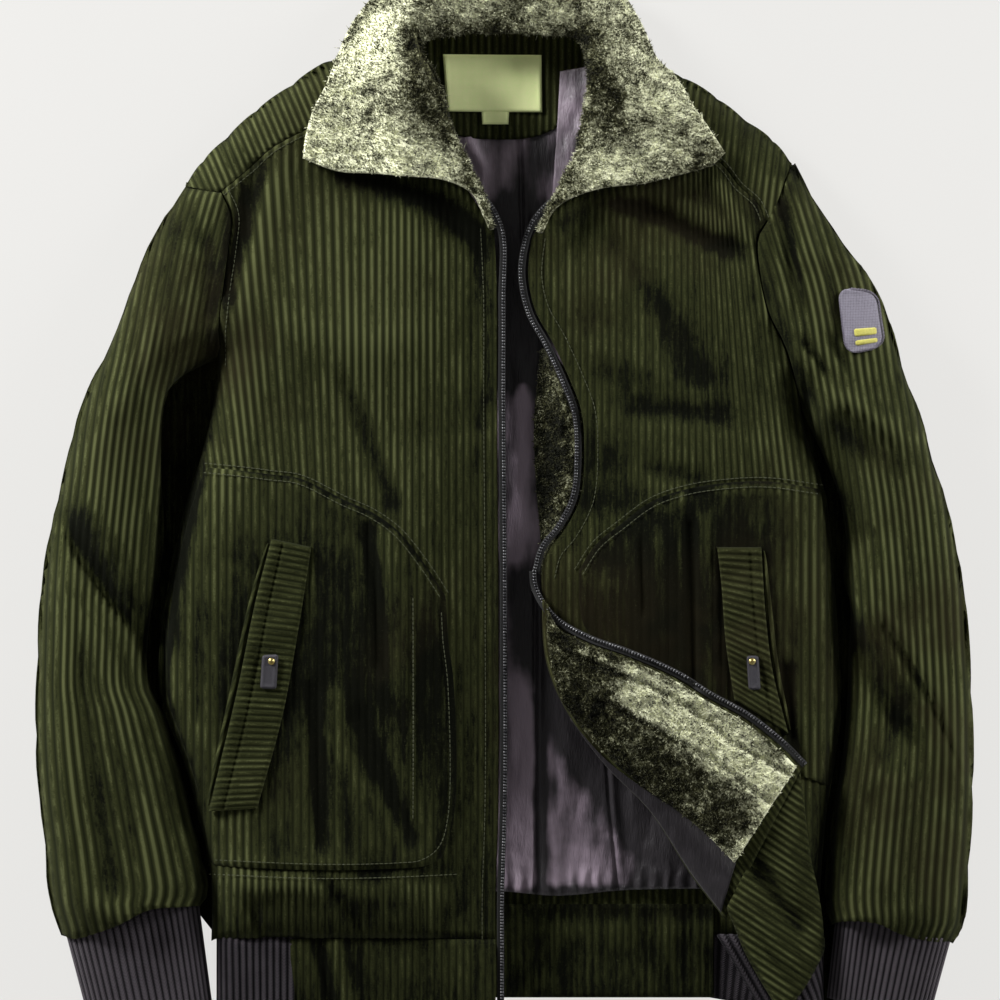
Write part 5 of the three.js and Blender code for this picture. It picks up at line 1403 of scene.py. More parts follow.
def make_neck():
    facing = Cloth()
    top = [(-70, 327), (-30, 331), (0, 332), (30, 331), (66, 326)]
    foot = [(-47, 256), (-35, 256), (-21, 253.5), (0, 252.5), (16, 253), (29, 256), (41, 262), (44, 268)]
    size = lattice(facing, [(-70, 327), (-47, 256)], [(66, 326), (44, 268)], foot, top,
                   lambda x, y: np.full_like(x, 7.4), row=3.5, thickness=1.2, rims=[foot])
    piece = facing.make("back_neck_facing_cloth", corduroy(), ["back_neck_facing"])
    facing.lay(piece, *size)
    for name, node, corners, lift in (
            ("neck_label_cloth", "neck_label", ((-40, 312), (29, 311.5), (29.5, 271.5), (-37, 272)), 9.1),
            ("size_tab_cloth", "size_tab", ((-13, 273), (6.5, 273), (6, 263), (-12.5, 263)), 8.6)):
        label = Cloth()
        (ax, ay), (bx, by), (cx, cy), (dx, dy) = corners
        u, v = np.meshgrid(np.linspace(0, 1, 42), np.linspace(0, 1, 26))
        x = mix(mix(ax, bx, u), mix(dx, cx, u), v)
        y = mix(mix(ay, by, u), mix(dy, cy, u), v)
        edge = np.minimum.reduce([u * (bx - ax), (1 - u) * (bx - ax), v * (ay - dy), (1 - v) * (ay - dy)])
        z = lift + 0.5 * ripples(x, y, 12, 81) + 0.25 * np.exp(-((edge - 1.5) / 0.5) ** 2) - 0.4 * (edge < 0.4)
        points = placed(x, y, z)
        label.grid(points, points - np.array([0, 0, 0.7]))
        material = woven_finish("label_weave", shade_of("label"), shade_of("label_deep"), 1300.0, 0.7, 0.05)
        piece = label.make(name, material, [node])
        label.lay(piece, bx - ax, ay - dy, rests_on=["back_neck_facing_cloth"])


# ---------------------------------------------------------------- knit

def ribbed(cloth, row_at, rows, ribs, per=6, ring=True, wall=2.0, pitch=5.0, tone=0.0):
    """A knit tube or band: row_at(down, t) gives points round it, t from 0 to 1."""
    count = ribs * per + (0 if ring else 1)
    t = np.arange(count) / (ribs * per)
    points = np.stack([row_at(down, t) for down in np.linspace(0, 1, rows)])
    normals = grid_normals(points, ring)
    phase = np.broadcast_to(np.arange(count) / per, points.shape[:2])
    along = np.broadcast_to(np.linspace(0, 66 / pitch, rows)[:, None], points.shape[:2])
    raise_ = size_of("rib_height") * (wale_profile(phase) - 0.35)
    raise_ = np.where(points[..., 2] < 1.2, np.minimum(raise_, 0), raise_)
    uv = np.stack([phase, along], -1)
    cloth.grid(points + normals * raise_[..., None], points - normals * wall, uv, ring=ring,
               tone=np.full(phase.shape, tone), plain=points)


def cuff_row(shape, mirrored):
    def row(down, t):
        t = 1 - t if mirrored else t
        over = t < 0.54
        s = np.where(over, t / 0.54, (1 - t) / 0.46)
        across = mix((1 - np.cos(np.pi * s)) / 2, s, 0.6)
        rim = lambda radius: quarter_round(np.minimum(across, 1 - across), radius)
        high = mix(SIDE_HEIGHT, mix(CUFF_HEIGHT, 25, down), rim(0.28))
        low = SIDE_HEIGHT * (1 - rim(0.12)) + 0.4
        x, y = shape(across, np.full_like(across, down))
        waver = 0.8 * np.sin(across * 9 + down * 3)
        return placed(x, y + waver * down, np.where(over, high + 0.8 * np.sin(across * 14 + 2) * rim(0.28), low))
    return row


def make_knit():
    cuffs = (
        ("cuff_right_knit", "cuff_right", [(-304, -304), (-270, -297.4), (-245, -285.6), (-222, -283.4), (-211, -282.6)],
         [(-286, -373), (-245, -360), (-202, -350)], False),
        ("cuff_left_knit", "cuff_left",
         [(316, -306.6), (302, -306.4), (280, -301.4), (265, -294.4), (245, -292.4), (235, -293.8)],
         [(300, -366), (265, -355), (229, -348)], True))
    for name, node, top, foot, mirrored in cuffs:
        knit = Cloth()
        shape = patch(top, foot, [top[0], foot[0]], [top[-1], foot[-1]])
        # tone 0.3: the cuffs lightened as painted light.
        ribbed(knit, cuff_row(shape, mirrored), 22, 40, tone=0.3)
        piece = knit.make(name, knit_finish(), [node])
        knit.lay(piece, 200, 72, held="gathered", rests_on=[])

    for name, node, front_top, front_foot, side, back_seam in (
            ("rib_insert_right_knit", "rib_insert_right", -144, -144, -198, -143),
            ("rib_insert_left_knit", "rib_insert_left", 152, 190, 226, 147)):
        sign = math.copysign(1, side)

        def row(down, t):
            t = t if sign > 0 else 1 - t
            front = mix(front_top, front_foot, down)
            high = mix(BAND_HEIGHT, HEM_HEIGHT, down) + 1.0 - 5 * ease_up(0.1 - down, 0, 0.1)
            radius = high / 2
            straight = max(4, abs(side - front) - radius)
            under = abs(side - back_seam) - radius
            half_ring = math.pi * radius
            run = t * (straight + half_ring + under)
            y = mix(mix(WAIST + 3, HEM_FRONT + 2, down), mix(WAIST + 3, HEM_BACK, down), t)
            angle = np.clip((run - straight) / radius, 0, math.pi)
            out = np.where(run < straight, run, straight + radius * np.sin(angle) - np.maximum(0, run - straight - half_ring))
            z = np.where(run < straight, high, radius + radius * np.cos(angle))
            return placed(front + sign * out, y, z + 0.3)

        knit = Cloth()
        # tone -0.9: the side inserts darkened as painted shade.
        ribbed(knit, row, 20, 26, ring=False, tone=-0.9)
        piece = knit.make(name, knit_finish(), [node])
        knit.lay(piece, 130, 72, held="folded", rests_on=[])


# ---------------------------------------------------------------- waistband

def band_top(x, y):
    fall = ease_up(-y, -WAIST, -HEM_FRONT)
    edge = ease_up(distance([(-3, WAIST), (-3, HEM_FRONT)], x, y), 0, EDGE_EASE)
    z = mix(mix(EDGE_HEIGHT, BAND_HEIGHT, edge), HEM_HEIGHT, fall) + 1.2
    z += 2.0 * np.exp(-(distance(seen((335, 945), (350, 1000), (352, 1030)), x, y) / 5) ** 2)
    z -= 2.0 * np.exp(-(distance(seen((318, 945), (330, 1000), (332, 1030)), x, y) / 4) ** 2)
    return z + 1.4 * (ripples(x, y, 24, 91) - 0.5)


def folded_band_top(x, y):
    """The left end of the waistband, turned over with the corner."""
    turn = math.radians(-56.5)
    u, v = x * math.cos(turn) - y * math.sin(turn), x * math.sin(turn) + y * math.cos(turn)
    down = np.clip((-282 - v) / 84, 0, 1)
    across = np.clip((u - mix(-149, -194, down)) / mix(107, 56, down), 0, 1)
    z = np.maximum(body_top(x, y) + 7, mix(mix(38, 35, down), mix(47, 34, down), across))
    z -= 5 * (1 - quarter_round(np.minimum(across * mix(107, 56, down), 8), 8))
    z -= 7 * (1 - quarter_round(np.minimum((1 - across) * mix(107, 56, down), 26), 26))
    z -= 2.5 * np.exp(-(distance(seen((760, 870), (800, 925)), x, y) / 7) ** 2)
    z += 1.2 * np.exp(-(distance(seen((740, 900), (790, 960)), x, y) / 7) ** 2)
    return z


def make_waistband():
    band = Cloth()
    foot = [(-147, HEM_FRONT), (-100, HEM_FRONT - 1.5), (-50, HEM_FRONT), (-3, HEM_FRONT)]
    top = [(-147, WAIST - 0.8), (-100, WAIST), (-50, WAIST - 0.8), (-3, WAIST - 0.8)]
    size = lattice(band, [top[0], foot[0]], [top[-1], foot[-1]], foot, top, band_top, thickness=2.4,
                   rims=[top, foot, [top[-1], foot[-1]]], shade=lambda x, y: -0.75 + 0 * x)
    piece = band.make("waistband_right_cloth", corduroy(), ["waistband_right"])
    band.lay(piece, *size)

    band = Cloth()
    a, b, c, d = (211, -190), (158, -286), (197, -363), (228, -316)
    size = lattice(band, [b, (172, -318), (190, -350), c], [a, (217, -245), (226, -290), d], [c, (213, -342), d],
                   [b, (184, -238), a], folded_band_top, wale=4.6, row=4.0, thickness=1.6,
                   rims=[[a, b], [c, d]], turn=math.radians(-56.5), shade=lambda x, y: 0.25 * ripples(x, y, 20, 97) - 0.3)
    piece = band.make("waistband_left_cloth", corduroy(), ["waistband_left"])
    band.lay(piece, 110, 84, held="folded", rests_on=["front_left_cloth"])

    band = Cloth()
    top = [(-146, WAIST + 24), (150, WAIST + 24)]
    foot = [(-146, HEM_BACK), (150, HEM_BACK)]
    inside = lambda x, y: 4.6 + 1.6 * ripples(x, y, 18, 95) - 2.0 * ease_up(y, -302, -286)
    size = lattice(band, [top[0], foot[0]], [top[1], foot[1]], foot, top, inside, wale=5.4, row=4.0, thickness=0.8,
                   rims=[foot], shade=lambda x, y: -1.0 + 0 * x)
    lattice(band, [(-146, WAIST), foot[0]], [(150, WAIST), foot[1]], foot, [(-146, WAIST - 0.8), (150, WAIST - 0.8)],
            lambda x, y: np.zeros_like(x), row=8.0, per=3, thickness=0.6, facing=-1)
    piece = band.make("waistband_back_cloth", corduroy(), ["waistband_back"])
    band.lay(piece, size[0], 118, held="folded", rests_on=[])


# ---------------------------------------------------------------- small things

def fastener_frame(path, height, pitch, start=0.0):
    """Even places along a run, with the way along, the way across and the normal there."""
    line = smooth_line(path)
    run = np.concatenate([[0], np.cumsum(np.linalg.norm(np.diff(line, axis=0), axis=1))])
    s = np.arange(start, run[-1], pitch)
    x, y = np.interp(s, run, line[:, 0]), np.interp(s, run, line[:, 1])
    ahead = np.stack([np.interp(s + 0.6, run, line[:, 0]) - np.interp(s - 0.6, run, line[:, 0]),
                      np.interp(s + 0.6, run, line[:, 1]) - np.interp(s - 0.6, run, line[:, 1])], -1)
    ahead /= np.maximum(np.linalg.norm(ahead, axis=1, keepdims=True), 1e-6)
    z = height(x, y)
    rise = height(x + ahead[:, 0], y + ahead[:, 1]) - height(x - ahead[:, 0], y - ahead[:, 1])
    way = np.stack([ahead[:, 0], ahead[:, 1], rise / 2], -1)
    way /= np.linalg.norm(way, axis=1, keepdims=True)
    normal = slope_normals(height, x, y)
    across = np.cross(normal, way)
    across /= np.linalg.norm(across, axis=1, keepdims=True)
    return placed(x, y, z), way, across, np.cross(way, across)


def bead(sides=5, rings=3):
    """A rounded pill one unit long, wide and high: points and faces."""
    points = [(-0.5, 0, 0)]
    for i in range(1, rings):
        a = math.pi * i / rings
        for j in range(sides):
            b = 2 * math.pi * j / sides
            points.append((-0.5 * math.cos(a), 0.5 * math.sin(a) ** 0.6 * math.cos(b), 0.5 * math.sin(a) ** 0.6 * math.sin(b)))
    points.append((0.5, 0, 0))
    threes, fours = [], []
    for j in range(sides):
        k = (j + 1) % sides
        threes.append((0, 1 + k, 1 + j))
        last = 1 + (rings - 2) * sides
        threes.append((len(points) - 1, last + j, last + k))
        for i in range(rings - 2):
            fours.append((1 + i * sides + j, 1 + i * sides + k, 1 + (i + 1) * sides + k, 1 + (i + 1) * sides + j))
    return np.array(points), [np.array(fours), np.array(threes)]


def tooth():
    """A zip tooth: a chamfered block one unit each way."""
    points, c = [], 0.28
    for z, s in ((-0.5, 1.0), (0.2, 1.0), (0.5, 1 - c)):
        points += [(-0.5 * s, -0.5 * s, z), (0.5 * s, -0.5 * s, z), (0.5 * s, 0.5 * s, z), (-0.5 * s, 0.5 * s, z)]
    fours = [(3, 2, 1, 0), (8, 9, 10, 11)]
    for r in (0, 4):
        for j in range(4):
            k = (j + 1) % 4
            fours.append((r + j, r + k, r + 4 + k, r + 4 + j))
    return np.array(points), [np.array(fours)]


def repeat(cloth, shape, frame_, size, lift=0.0, side=0.0):
    """Sets copies of a small shape at every place of a fastener frame."""
    points, faces = shape
    spots, way, across, up = frame_
    count = len(spots)
    if not count:
        return
    scaled = points * np.array(size)
    every = (spots[:, None] + way[:, None] * scaled[None, :, :1] + across[:, None] * (scaled[None, :, 1:2] + side)
             + up[:, None] * (scaled[None, :, 2:] + lift))
    ids = np.arange(count)[:, None, None] * len(points)
    cloth.put(every.reshape(-1, 3), [(f[None] + ids).reshape(-1, f.shape[1]) for f in faces if len(f)])


def crest_of(height):
    return lambda x, y: np.maximum.reduce([height(x + dx, y + dy) for dx, dy in ((0, 0), (3, 0), (-3, 0), (0, 3), (0, -3))])


def make_stitching():
    threads = Cloth()
    pill = bead()
    panel = crest_of(raised(2.0))
    rows = [
        (away([(-206, 23)] + pocket_top_right, 2.6), crest_of(body_top)),
        (away([(-206, 23)] + pocket_top_right, -4.0), panel),
        ([(-41, -80), (-40, -98), (-36.5, -130), (-36.5, -222), (-43, -243), (-55, -252), (-71, -254), (-127, -255),
          (-200, -252)], panel),
        ([(-203, -262), (-127, -265), (-71, -264), (-30, -262)], crest_of(body_top)),
        (seen((413, 600), (413, 720), (413, 820)), panel),
        ([(-61, -70), (-60.5, -160), (-61, -224)], panel),
        (away(pocket_top_left, -4.0), panel),
        (away(pocket_top_left, 2.6), crest_of(body_top)),
        (away(zip_left, 9.5), body_top),
        (away(zip_right, -9.5), body_top),
        (away(armhole_right[2:] + [(-197, 92)], 5), body_top),
        (away(armhole_left[2:], 7), body_top),
        (away(armhole_left[2:], 3.4), body_top),
        (away(yoke_seam_right, 3), body_top),
        (away(yoke_seam_left, -3), body_top),
        (away(yoke_seam_left, 3), body_top),
    ]
    for path, height in rows:
        repeat(threads, pill, fastener_frame(path, height, size_of("stitch_pitch")), (0.94 * size_of("stitch_pitch"), 0.7, 0.6), 0.1)
    material = woven_finish("thread", shade_of("thread"), shade_of("thread_deep"), 2500.0, 0.9, 0.03)
    threads.make("topstitching", material)


def tape_path(side, gap, width):
    return gap + width / 2 if side > 0 else -(gap + width / 2)


under_collar = lambda y: ease_up(y, 186, 200)


def on_front(x, y):
    return mix(EDGE_HEIGHT - 0.3, body_top(x, y) + 2.3, under_collar(y))


def down_to_hem(x, y):
    return on_front(x, y) - 4 * ease_up(-y, 300, 370)


def make_zip():
    tape_foot = [(-3, WAIST), (-3, HEM_FRONT + 1)]
    corner = [(19.6, -50), (20.5, -60), (26, -73), (38, -87)]
    at_corner = lambda x, y: mix(on_front(x, y), flap_top(x, y), ease_up(-y, 58, 82))
    runs = (
        ("zip_tape_right_cloth", "zip_tape_right", collar_end_right[:7][::-1] + zip_right[1:] + tape_foot[1:], 1, 0.9,
         down_to_hem, (12, 650)),
        ("zip_tape_left_cloth", "zip_tape_left", collar_end_left[:7][::-1] + zip_left[1:], -1, 1.9, on_front, (12, 440)),
        ("zip_tape_turned_cloth", "zip_tape_left_turned", corner + flap_edge[2:], 1, 0.9, at_corner, (12, 240)),
    )
    metal = metal_finish("gunmetal", shade_of("zip_metal"), shade_of("zip_metal_deep"))
    weave = woven_finish("zip_tape_weave", shade_of("zip_tape"), shade_of("zip_tape_deep"), 1700.0, 0.9, 0.02)
    for name, node, path, side, gap, height, size in runs:
        near, far = runner(away(path, side * gap)), runner(away(path, side * (5 + gap)))
        t = np.linspace(0, 1, 170)
        a, b = near(t), far(t)
        share = np.linspace(0, 1, 7)[None]
        x, y = mix(a[:, :1], b[:, :1], share), mix(a[:, 1:], b[:, 1:], share)
        z = height(a[:, 0], a[:, 1])[:, None] + 0.5 * np.exp(-((share - 0.8) / 0.12) ** 2) + 0 * x
        points = placed(x, y, z)
        if side < 0:
            points = points[:, ::-1]
        tape = Cloth()
        tape.grid(points, points - np.array([0, 0, 1.2]))
        piece = tape.make(name, weave, [node])
        teeth = Cloth()
        line = [tuple(p) for p in smooth_line(away(path, side * (3.4 + gap)), 4)]
        repeat(teeth, tooth(), fastener_frame(line, height, size_of("tooth_pitch")), (1.1, 2.2, 1.2), 0.9)
        row = teeth.make(name.replace("cloth", "teeth").replace("tape_", ""), metal)
        tape.lay(piece, *size, rests_on=["front_left_cloth" if side < 0 else "front_right_cloth"], with_pieces=[row])


def outline_shell(cloth, corners, height, rounded=3.0, rise=1.6, sink=1.0, step=1.2, lip=None):
    """A flat piece with rounded corners, laid on height: points at even steps inside a four-sided outline."""
    (ax, ay), (bx, by), (cx, cy), (dx, dy) = corners
    wide = (math.dist((ax, ay), (bx, by)) + math.dist((dx, dy), (cx, cy))) / 2
    tall = (math.dist((ax, ay), (dx, dy)) + math.dist((bx, by), (cx, cy))) / 2
    columns, rows = int(wide / step) + 2, int(tall / step) + 2
    u, v = np.meshgrid(np.linspace(-1, 1, columns), np.linspace(-1, 1, rows))
    short = min(wide, tall) / 2
    half_wide, half_tall = wide / 2, tall / 2
    cut_u = rounded - np.sqrt(np.clip(rounded ** 2 - np.clip(np.abs(v) * half_tall - half_tall + rounded, 0, None) ** 2, 0, None))
    ru = u * (1 - cut_u / half_wide)
    rv = v
    s, t = (ru + 1) / 2, (rv + 1) / 2
    x = mix(mix(ax, bx, s), mix(dx, cx, s), t)
    y = mix(mix(ay, by, s), mix(dy, cy, s), t)
    inset = np.minimum((1 - np.abs(u)) * wide / 2, (1 - np.abs(v)) * tall / 2)
    z = height(x, y) + rise - 0.7 * (1 - quarter_round(inset, 1.6))
    if lip:
        z += lip * np.exp(-((inset - 1.6) / 1.1) ** 2)
    return x, y, z, inset


def make_small_parts():
    sleeve_high = crest_of(sleeve_top)
    patch_ = Cloth()
    corners = ((236, 149), (263, 146), (269, 107), (242, 101))
    x, y, z, inset = outline_shell(patch_, corners, sleeve_high, rounded=9, rise=1.8, lip=0.9)
    points = placed(x, y, z)
    patch_.grid(points, points - grid_normals(points) * 1.4)
    weave = woven_finish("patch_weave", shade_of("patch"), shade_of("patch_deep"), 900.0, 0.9, 0.05)
    piece = patch_.make("arm_patch_cloth", weave, ["arm_patch"])
    bar = Cloth()
    for low, high in ((0.62, 0.74), (0.80, 0.88)):
        ends = [(mix(mix(237, 268, s), mix(243, 271, s), t), mix(mix(149, 145, s), mix(101, 107, s), t))
                for s, t in ((0.24, low), (0.78, low), (0.78, high), (0.24, high))]
        bx, by, bz, _ = outline_shell(bar, ends, sleeve_high, rounded=1.0, rise=2.7, step=0.8)
        ridge = placed(bx, by, bz)
        bar.grid(ridge, ridge - grid_normals(ridge) * 0.8)
    thread = woven_finish("patch_bar", shade_of("patch_bar"), shade_of("patch_bar_deep"), 1600.0, 0.6, 0.2)
    bars = bar.make("arm_patch_bar", thread)
    rim = Cloth()
    ring = [(x[0, j], y[0, j]) for j in range(x.shape[1])] + [(x[i, -1], y[i, -1]) for i in range(1, x.shape[0])] + \
        [(x[-1, j], y[-1, j]) for j in range(x.shape[1] - 2, -1, -1)] + [(x[i, 0], y[i, 0]) for i in range(x.shape[0] - 2, 0, -1)]
    centre = np.mean(ring, 0)
    inside = [tuple(centre + (np.array(p) - centre) * 0.955) for p in ring]
    repeat(rim, bead(), tuple(np.array(v) for v in swapped(fastener_frame(inside[::2], sleeve_high, 0.95))),
           (2.6, 0.95, 1.0), 1.8)
    edge = rim.make("arm_patch_edging", woven_finish("patch_edge", shade_of("patch_edge"), shade_of("patch_edge_deep"), 1500.0))
    patch_.lay(piece, 34, 48, rests_on=["sleeve_left_cloth"], with_pieces=[bars, edge])

    for side, corners, dot in (("right", ((-166.5, -108.5), (-155, -108), (-156.5, -132.5), (-168, -132)), (-160, -113)),
                               ("left", ((172.5, -109), (181, -109), (182.5, -133), (174, -133)), (176.5, -113))):
        tab = Cloth()
        x, y, z, _ = outline_shell(tab, corners, raised(7.2), rounded=2, rise=0, step=0.8, lip=0.35)
        points = placed(x, y, z)
        tab.grid(points, points - grid_normals(points) * 1.1)
        leather = woven_finish("tab_weave", shade_of("tab"), shade_of("tab_deep"), 1900.0, 0.6, 0.05)
        piece = tab.make(f"pocket_tab_{side}_cloth", leather, [f"pocket_tab_{side}"])
        tab.lay(piece, 12, 26, rests_on=[f"pocket_panel_{side}_cloth"])
        stud = Cloth()
        profile = [(0.0, 1.7), (1.0, 1.62), (1.6, 1.3), (1.75, 0.9), (2.1, 0.85), (2.4, 0.5), (2.4, -0.6), (0.0, -0.6)]
        turns = np.linspace(0, 2 * np.pi, 28, endpoint=False)
        sx, sy = dot
        high = float(raised(7.2)(np.array([sx * 1.0]), np.array([sy * 1.0]))[0])
        middle = placed(np.array(sx * 1.0), np.array(sy * 1.0), np.array(high))
        ringed = [[middle + np.array([r * math.cos(a), r * math.sin(a), h]) for a in turns] for r, h in profile[1:-1]]
        ids = np.arange(len(ringed) * len(turns)).reshape(len(ringed), -1)
        nxt = np.roll(ids, -1, 1)
        fours = np.stack([ids[1:], nxt[1:], nxt[:-1], ids[:-1]], -1).reshape(-1, 4)
        every = np.vstack([np.array(ringed).reshape(-1, 3), middle + [0, 0, 1.7], middle - [0, 0, 0.6]])
        top, bottom = len(every) - 2, len(every) - 1
        fan = np.vstack([np.stack([ids[0], nxt[0], np.full(28, top)], 1), np.stack([nxt[-1], ids[-1], np.full(28, bottom)], 1)])
        stud.put(every, [fours, fan])
        stud.make(f"pocket_stud_{side}_dome", metal_finish("brass", shade_of("stud"), shade_of("stud_deep"), 0.32),
                  [f"pocket_stud_{side}"])


def swapped(frame_):
    """The same places with the ways along and across changed over, for stitches laid crosswise."""
    spots, way, across, up = frame_
    return spots, across, -way, up


def make_welts():
    for side, top, foot, left, right, slit_on_left in (
            ("right", ((-160, -27), (-132, -33)), ((-204, -218), (-170, -216)),
             [(-160, -27), (-171, -70), (-184, -133), (-204, -218)],
             [(-132, -33), (-141, -90), (-152, -150), (-170, -216)], True),
            ("left", ((152, -33), (183, -33)), ((164, -140), (202, -164)),
             [(152, -33), (155, -60), (158, -100), (164, -140)],
             [(183, -33), (186, -80), (191, -120), (202, -164)], False)):
        welt = Cloth()
        shape = patch(list(top), list(foot), left, right)
        length = length_of(left)
        rows = int(length / 4.5 * 5)
        v, u = np.meshgrid(np.linspace(0, 1, rows), np.linspace(0, 1, 22), indexing="ij")
        x, y = shape(u, v)
        phase = np.broadcast_to(np.linspace(0, length / 4.5, rows)[:, None], x.shape)
        width = np.linalg.norm(np.array(top[0]) - np.array(top[1]))
        inset = np.minimum(np.minimum(u, 1 - u) * width, np.minimum(v, 1 - v) * length)
        z = crest_of(raised(2.0))(x, y) + 3.0 + 0.9 * np.sin(v * 21 + 2.6 * u) * 0.6 + 0.8 * (ripples(x, y, 13, 61) - 0.5)
        strip = (u if slit_on_left else 1 - u) * width
        z += 1.0 * np.exp(-((strip - 3) / 3.4) ** 2) - 1.5 * np.exp(-((strip - 8.2) / 0.9) ** 2)
        z -= 1.6 * (1 - quarter_round(inset, 3.0))
        relief = 0.75 * (wale_profile(phase) - 1) * quarter_round(inset, 2.0)
        base = placed(x, y, z)
        normals = grid_normals(base)
        uv = np.stack([phase, u * width / 4.6], -1)
        welt.grid(base + normals * relief[..., None], base - normals * 2.6, uv, plain=base)
        piece = welt.make(f"pocket_welt_{side}_cloth", corduroy(), [f"pocket_welt_{side}"])
        welt.lay(piece, 36, 200 if side == "right" else 125, rests_on=[f"pocket_panel_{side}_cloth"])
        slit = Cloth()
        line = left if slit_on_left else right
        near = runner(away(line, -0.6 if slit_on_left else 0.6))
        far = runner(away(line, -5.0 if slit_on_left else 5.0))
        t = np.linspace(0.02, 0.98, 90)
        a, b = near(t), far(t)
        s = np.linspace(0, 1, 9)[None]
        swell = np.sin(np.pi * t)[:, None] ** 0.4
        x = mix(a[:, :1], b[:, :1], s * swell)
        y = mix(a[:, 1:], b[:, 1:], s * swell)
        z = crest_of(raised(2.0))(x, y) + 0.5 + 1.6 * np.sin(np.pi * s) * swell * (s > 0.3)
        points = placed(x, y, z + 0 * x)
        if slit_on_left:
            points = points[:, ::-1]
        slit.grid(points, points - np.array([0, 0, 1.4]), np.stack([x / 4.6, y / 4.6], -1))
        lip = slit.make(f"pocket_lip_{side}_cloth", corduroy())
        slit.lay(lip, 11, 200 if side == "right" else 125, rests_on=[f"pocket_panel_{side}_cloth"])


def make_underarm_painted_shade():
    """Slack of the sleeves and sides that lies in the gaps under the arms, darkened as painted shade."""
    for side, inner, body in (("right", inner_right, side_right),
                              ("left", inner_left + [(230, -372)], side_left + [(222, -372)])):
        cloth = Cloth()
        a, b = runner(inner), runner(body)
        t = np.linspace(0, 1, 90)
        span = np.linspace(0, 1, 18)[None]
        p, q = a(t), b(t)
        sign = -1 if side == "right" else 1
        x = mix(p[:, :1] + sign * 5, q[:, :1] - sign * 5, span)
        y = mix(p[:, 1:], q[:, 1:], span)
        z = 4.5 + 5 * np.abs(span - 0.45) + 2.4 * ripples(x * 2.2, y * 0.5, 9, 51)
        points = placed(x, y, z)
        if side == "left":
            points = points[:, ::-1]
        uv = np.stack([x / 4.6, y / 4.6], -1)
        cloth.grid(points, points - np.array([0, 0, 1.6]), uv if side == "right" else uv[:, ::-1],
                   tone=np.full(x.shape, -1.5))
        piece = cloth.make(f"underarm_{side}_cloth", corduroy())
        cloth.lay(piece, 60, 420, held="folded", rests_on=["back_cloth"])


def make_armholes():
    """The seam allowance under each armhole seam."""
    for side, line in (("right", armhole_right + [(-200, 84)]), ("left", armhole_left + [(215, 10)])):
        cloth = Cloth()
        near, far = runner(away(line, 7)), runner(away(line, -7))
        t = np.linspace(0, 1, 90)
        a, b = near(t), far(t)
        s = 0.5 + np.linspace(-0.5, 0.5, 7)[None] * mix(0.35, 1, ease_up(t, 0, 0.14))[:, None]
        x, y = mix(a[:, :1], b[:, :1], s), mix(a[:, 1:], b[:, 1:], s)
        z = SIDE_HEIGHT - 3.2 + 0.8 * np.cos((s - 0.5) * 5) + 0 * x
        points = placed(x, y, z)
        if side == "right":
            points = points[:, ::-1]
        normals = grid_normals(points)
        points = points if normals[..., 2].mean() > 0 else points[:, ::-1]
        # The strip is darkened as painted shade.
        cloth.grid(points, points - np.array([0, 0, 1.6]), np.stack([x / 4.6, y / 4.6], -1),
                   tone=np.full(x.shape, -1.2))
        piece = cloth.make(f"armhole_seam_{side}_cloth", corduroy())
        cloth.lay(piece, 14, 320, held="folded", rests_on=["back_cloth"])


def make_side_folds():
    """The round of cloth where each sleeve and side turns under."""
    runs = (("side_roll_right", shoulder_right + outer_right[1:], 2.7), ("side_roll_left", shoulder_left + outer_left[1:], -2.7),
            ("arm_roll_right", inner_right, -2.7), ("arm_roll_left", inner_left, 2.7),
            ("body_roll_right", side_right, 2.7), ("body_roll_left", side_left, -2.7))
    for name, line, inset in runs:
        path = runner(away(smooth_line(line), inset))
        t = np.linspace(0, 1, 130)
        middle = path(t)
        way = np.gradient(middle, axis=0)
        way /= np.linalg.norm(way, axis=1, keepdims=True)
        out = np.stack([-way[:, 1], way[:, 0]], 1)
        angle = np.linspace(0, 2 * np.pi, 10, endpoint=False)[None]
        cloth = Cloth()
        walls = []
        for radius in (2.5, 1.2):
            x = middle[:, :1] + radius * np.cos(angle) * out[:, :1]
            y = middle[:, 1:] + radius * np.cos(angle) * out[:, 1:]
            walls.append(placed(x, y, SIDE_HEIGHT - 0.4 + 1.15 * radius * np.sin(angle)))
        uv = np.stack([np.broadcast_to(t[:, None] * 60, walls[0].shape[:2]), np.broadcast_to(angle, walls[0].shape[:2])], -1)
        if np.cross(walls[0][1, 0] - walls[0][0, 0], walls[0][0, 1] - walls[0][0, 0]) @ (walls[0][0, 0] - walls[0][0].mean(0)) > 0:
            walls = [w[:, ::-1] for w in walls]
        # The rolls are darkened as painted shade.
        cloth.grid(walls[0], walls[1], uv, ring=True, tone=np.full(walls[0].shape[:2], -0.5))
        piece = cloth.make(f"{name}_cloth", corduroy())
        length = length_of(line)
        cloth.lay(piece, 16, length, held="folded", rests_on=["back_cloth"])


def make_fittings():
    """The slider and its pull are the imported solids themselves, with painted metal on them."""
    paint = metal_finish("painted_zip_metal", shade_of("slider"), shade_of("slider_deep"), 0.45)
    for node in ("zip_slider", "zip_pull_tab"):
        thing = bpy.data.objects[node]
        thing.data.materials.clear()
        thing.data.materials.append(paint)


# ---------------------------------------------------------------- add-on

class MakeStage(Operator):
    """Sets up the pale floor, the studio lights and the camera"""
    bl_idname = "jacket.make_stage"
    bl_label = "Stage"

    def execute(self, context):
        make_stage()
        return {"FINISHED"}


class MakeBody(Operator):
    """Cuts the two fronts, the shoulder yokes and the back"""
    bl_idname = "jacket.make_body"
    bl_label = "Body"

    def execute(self, context):
        make_body()
        return {"FINISHED"}


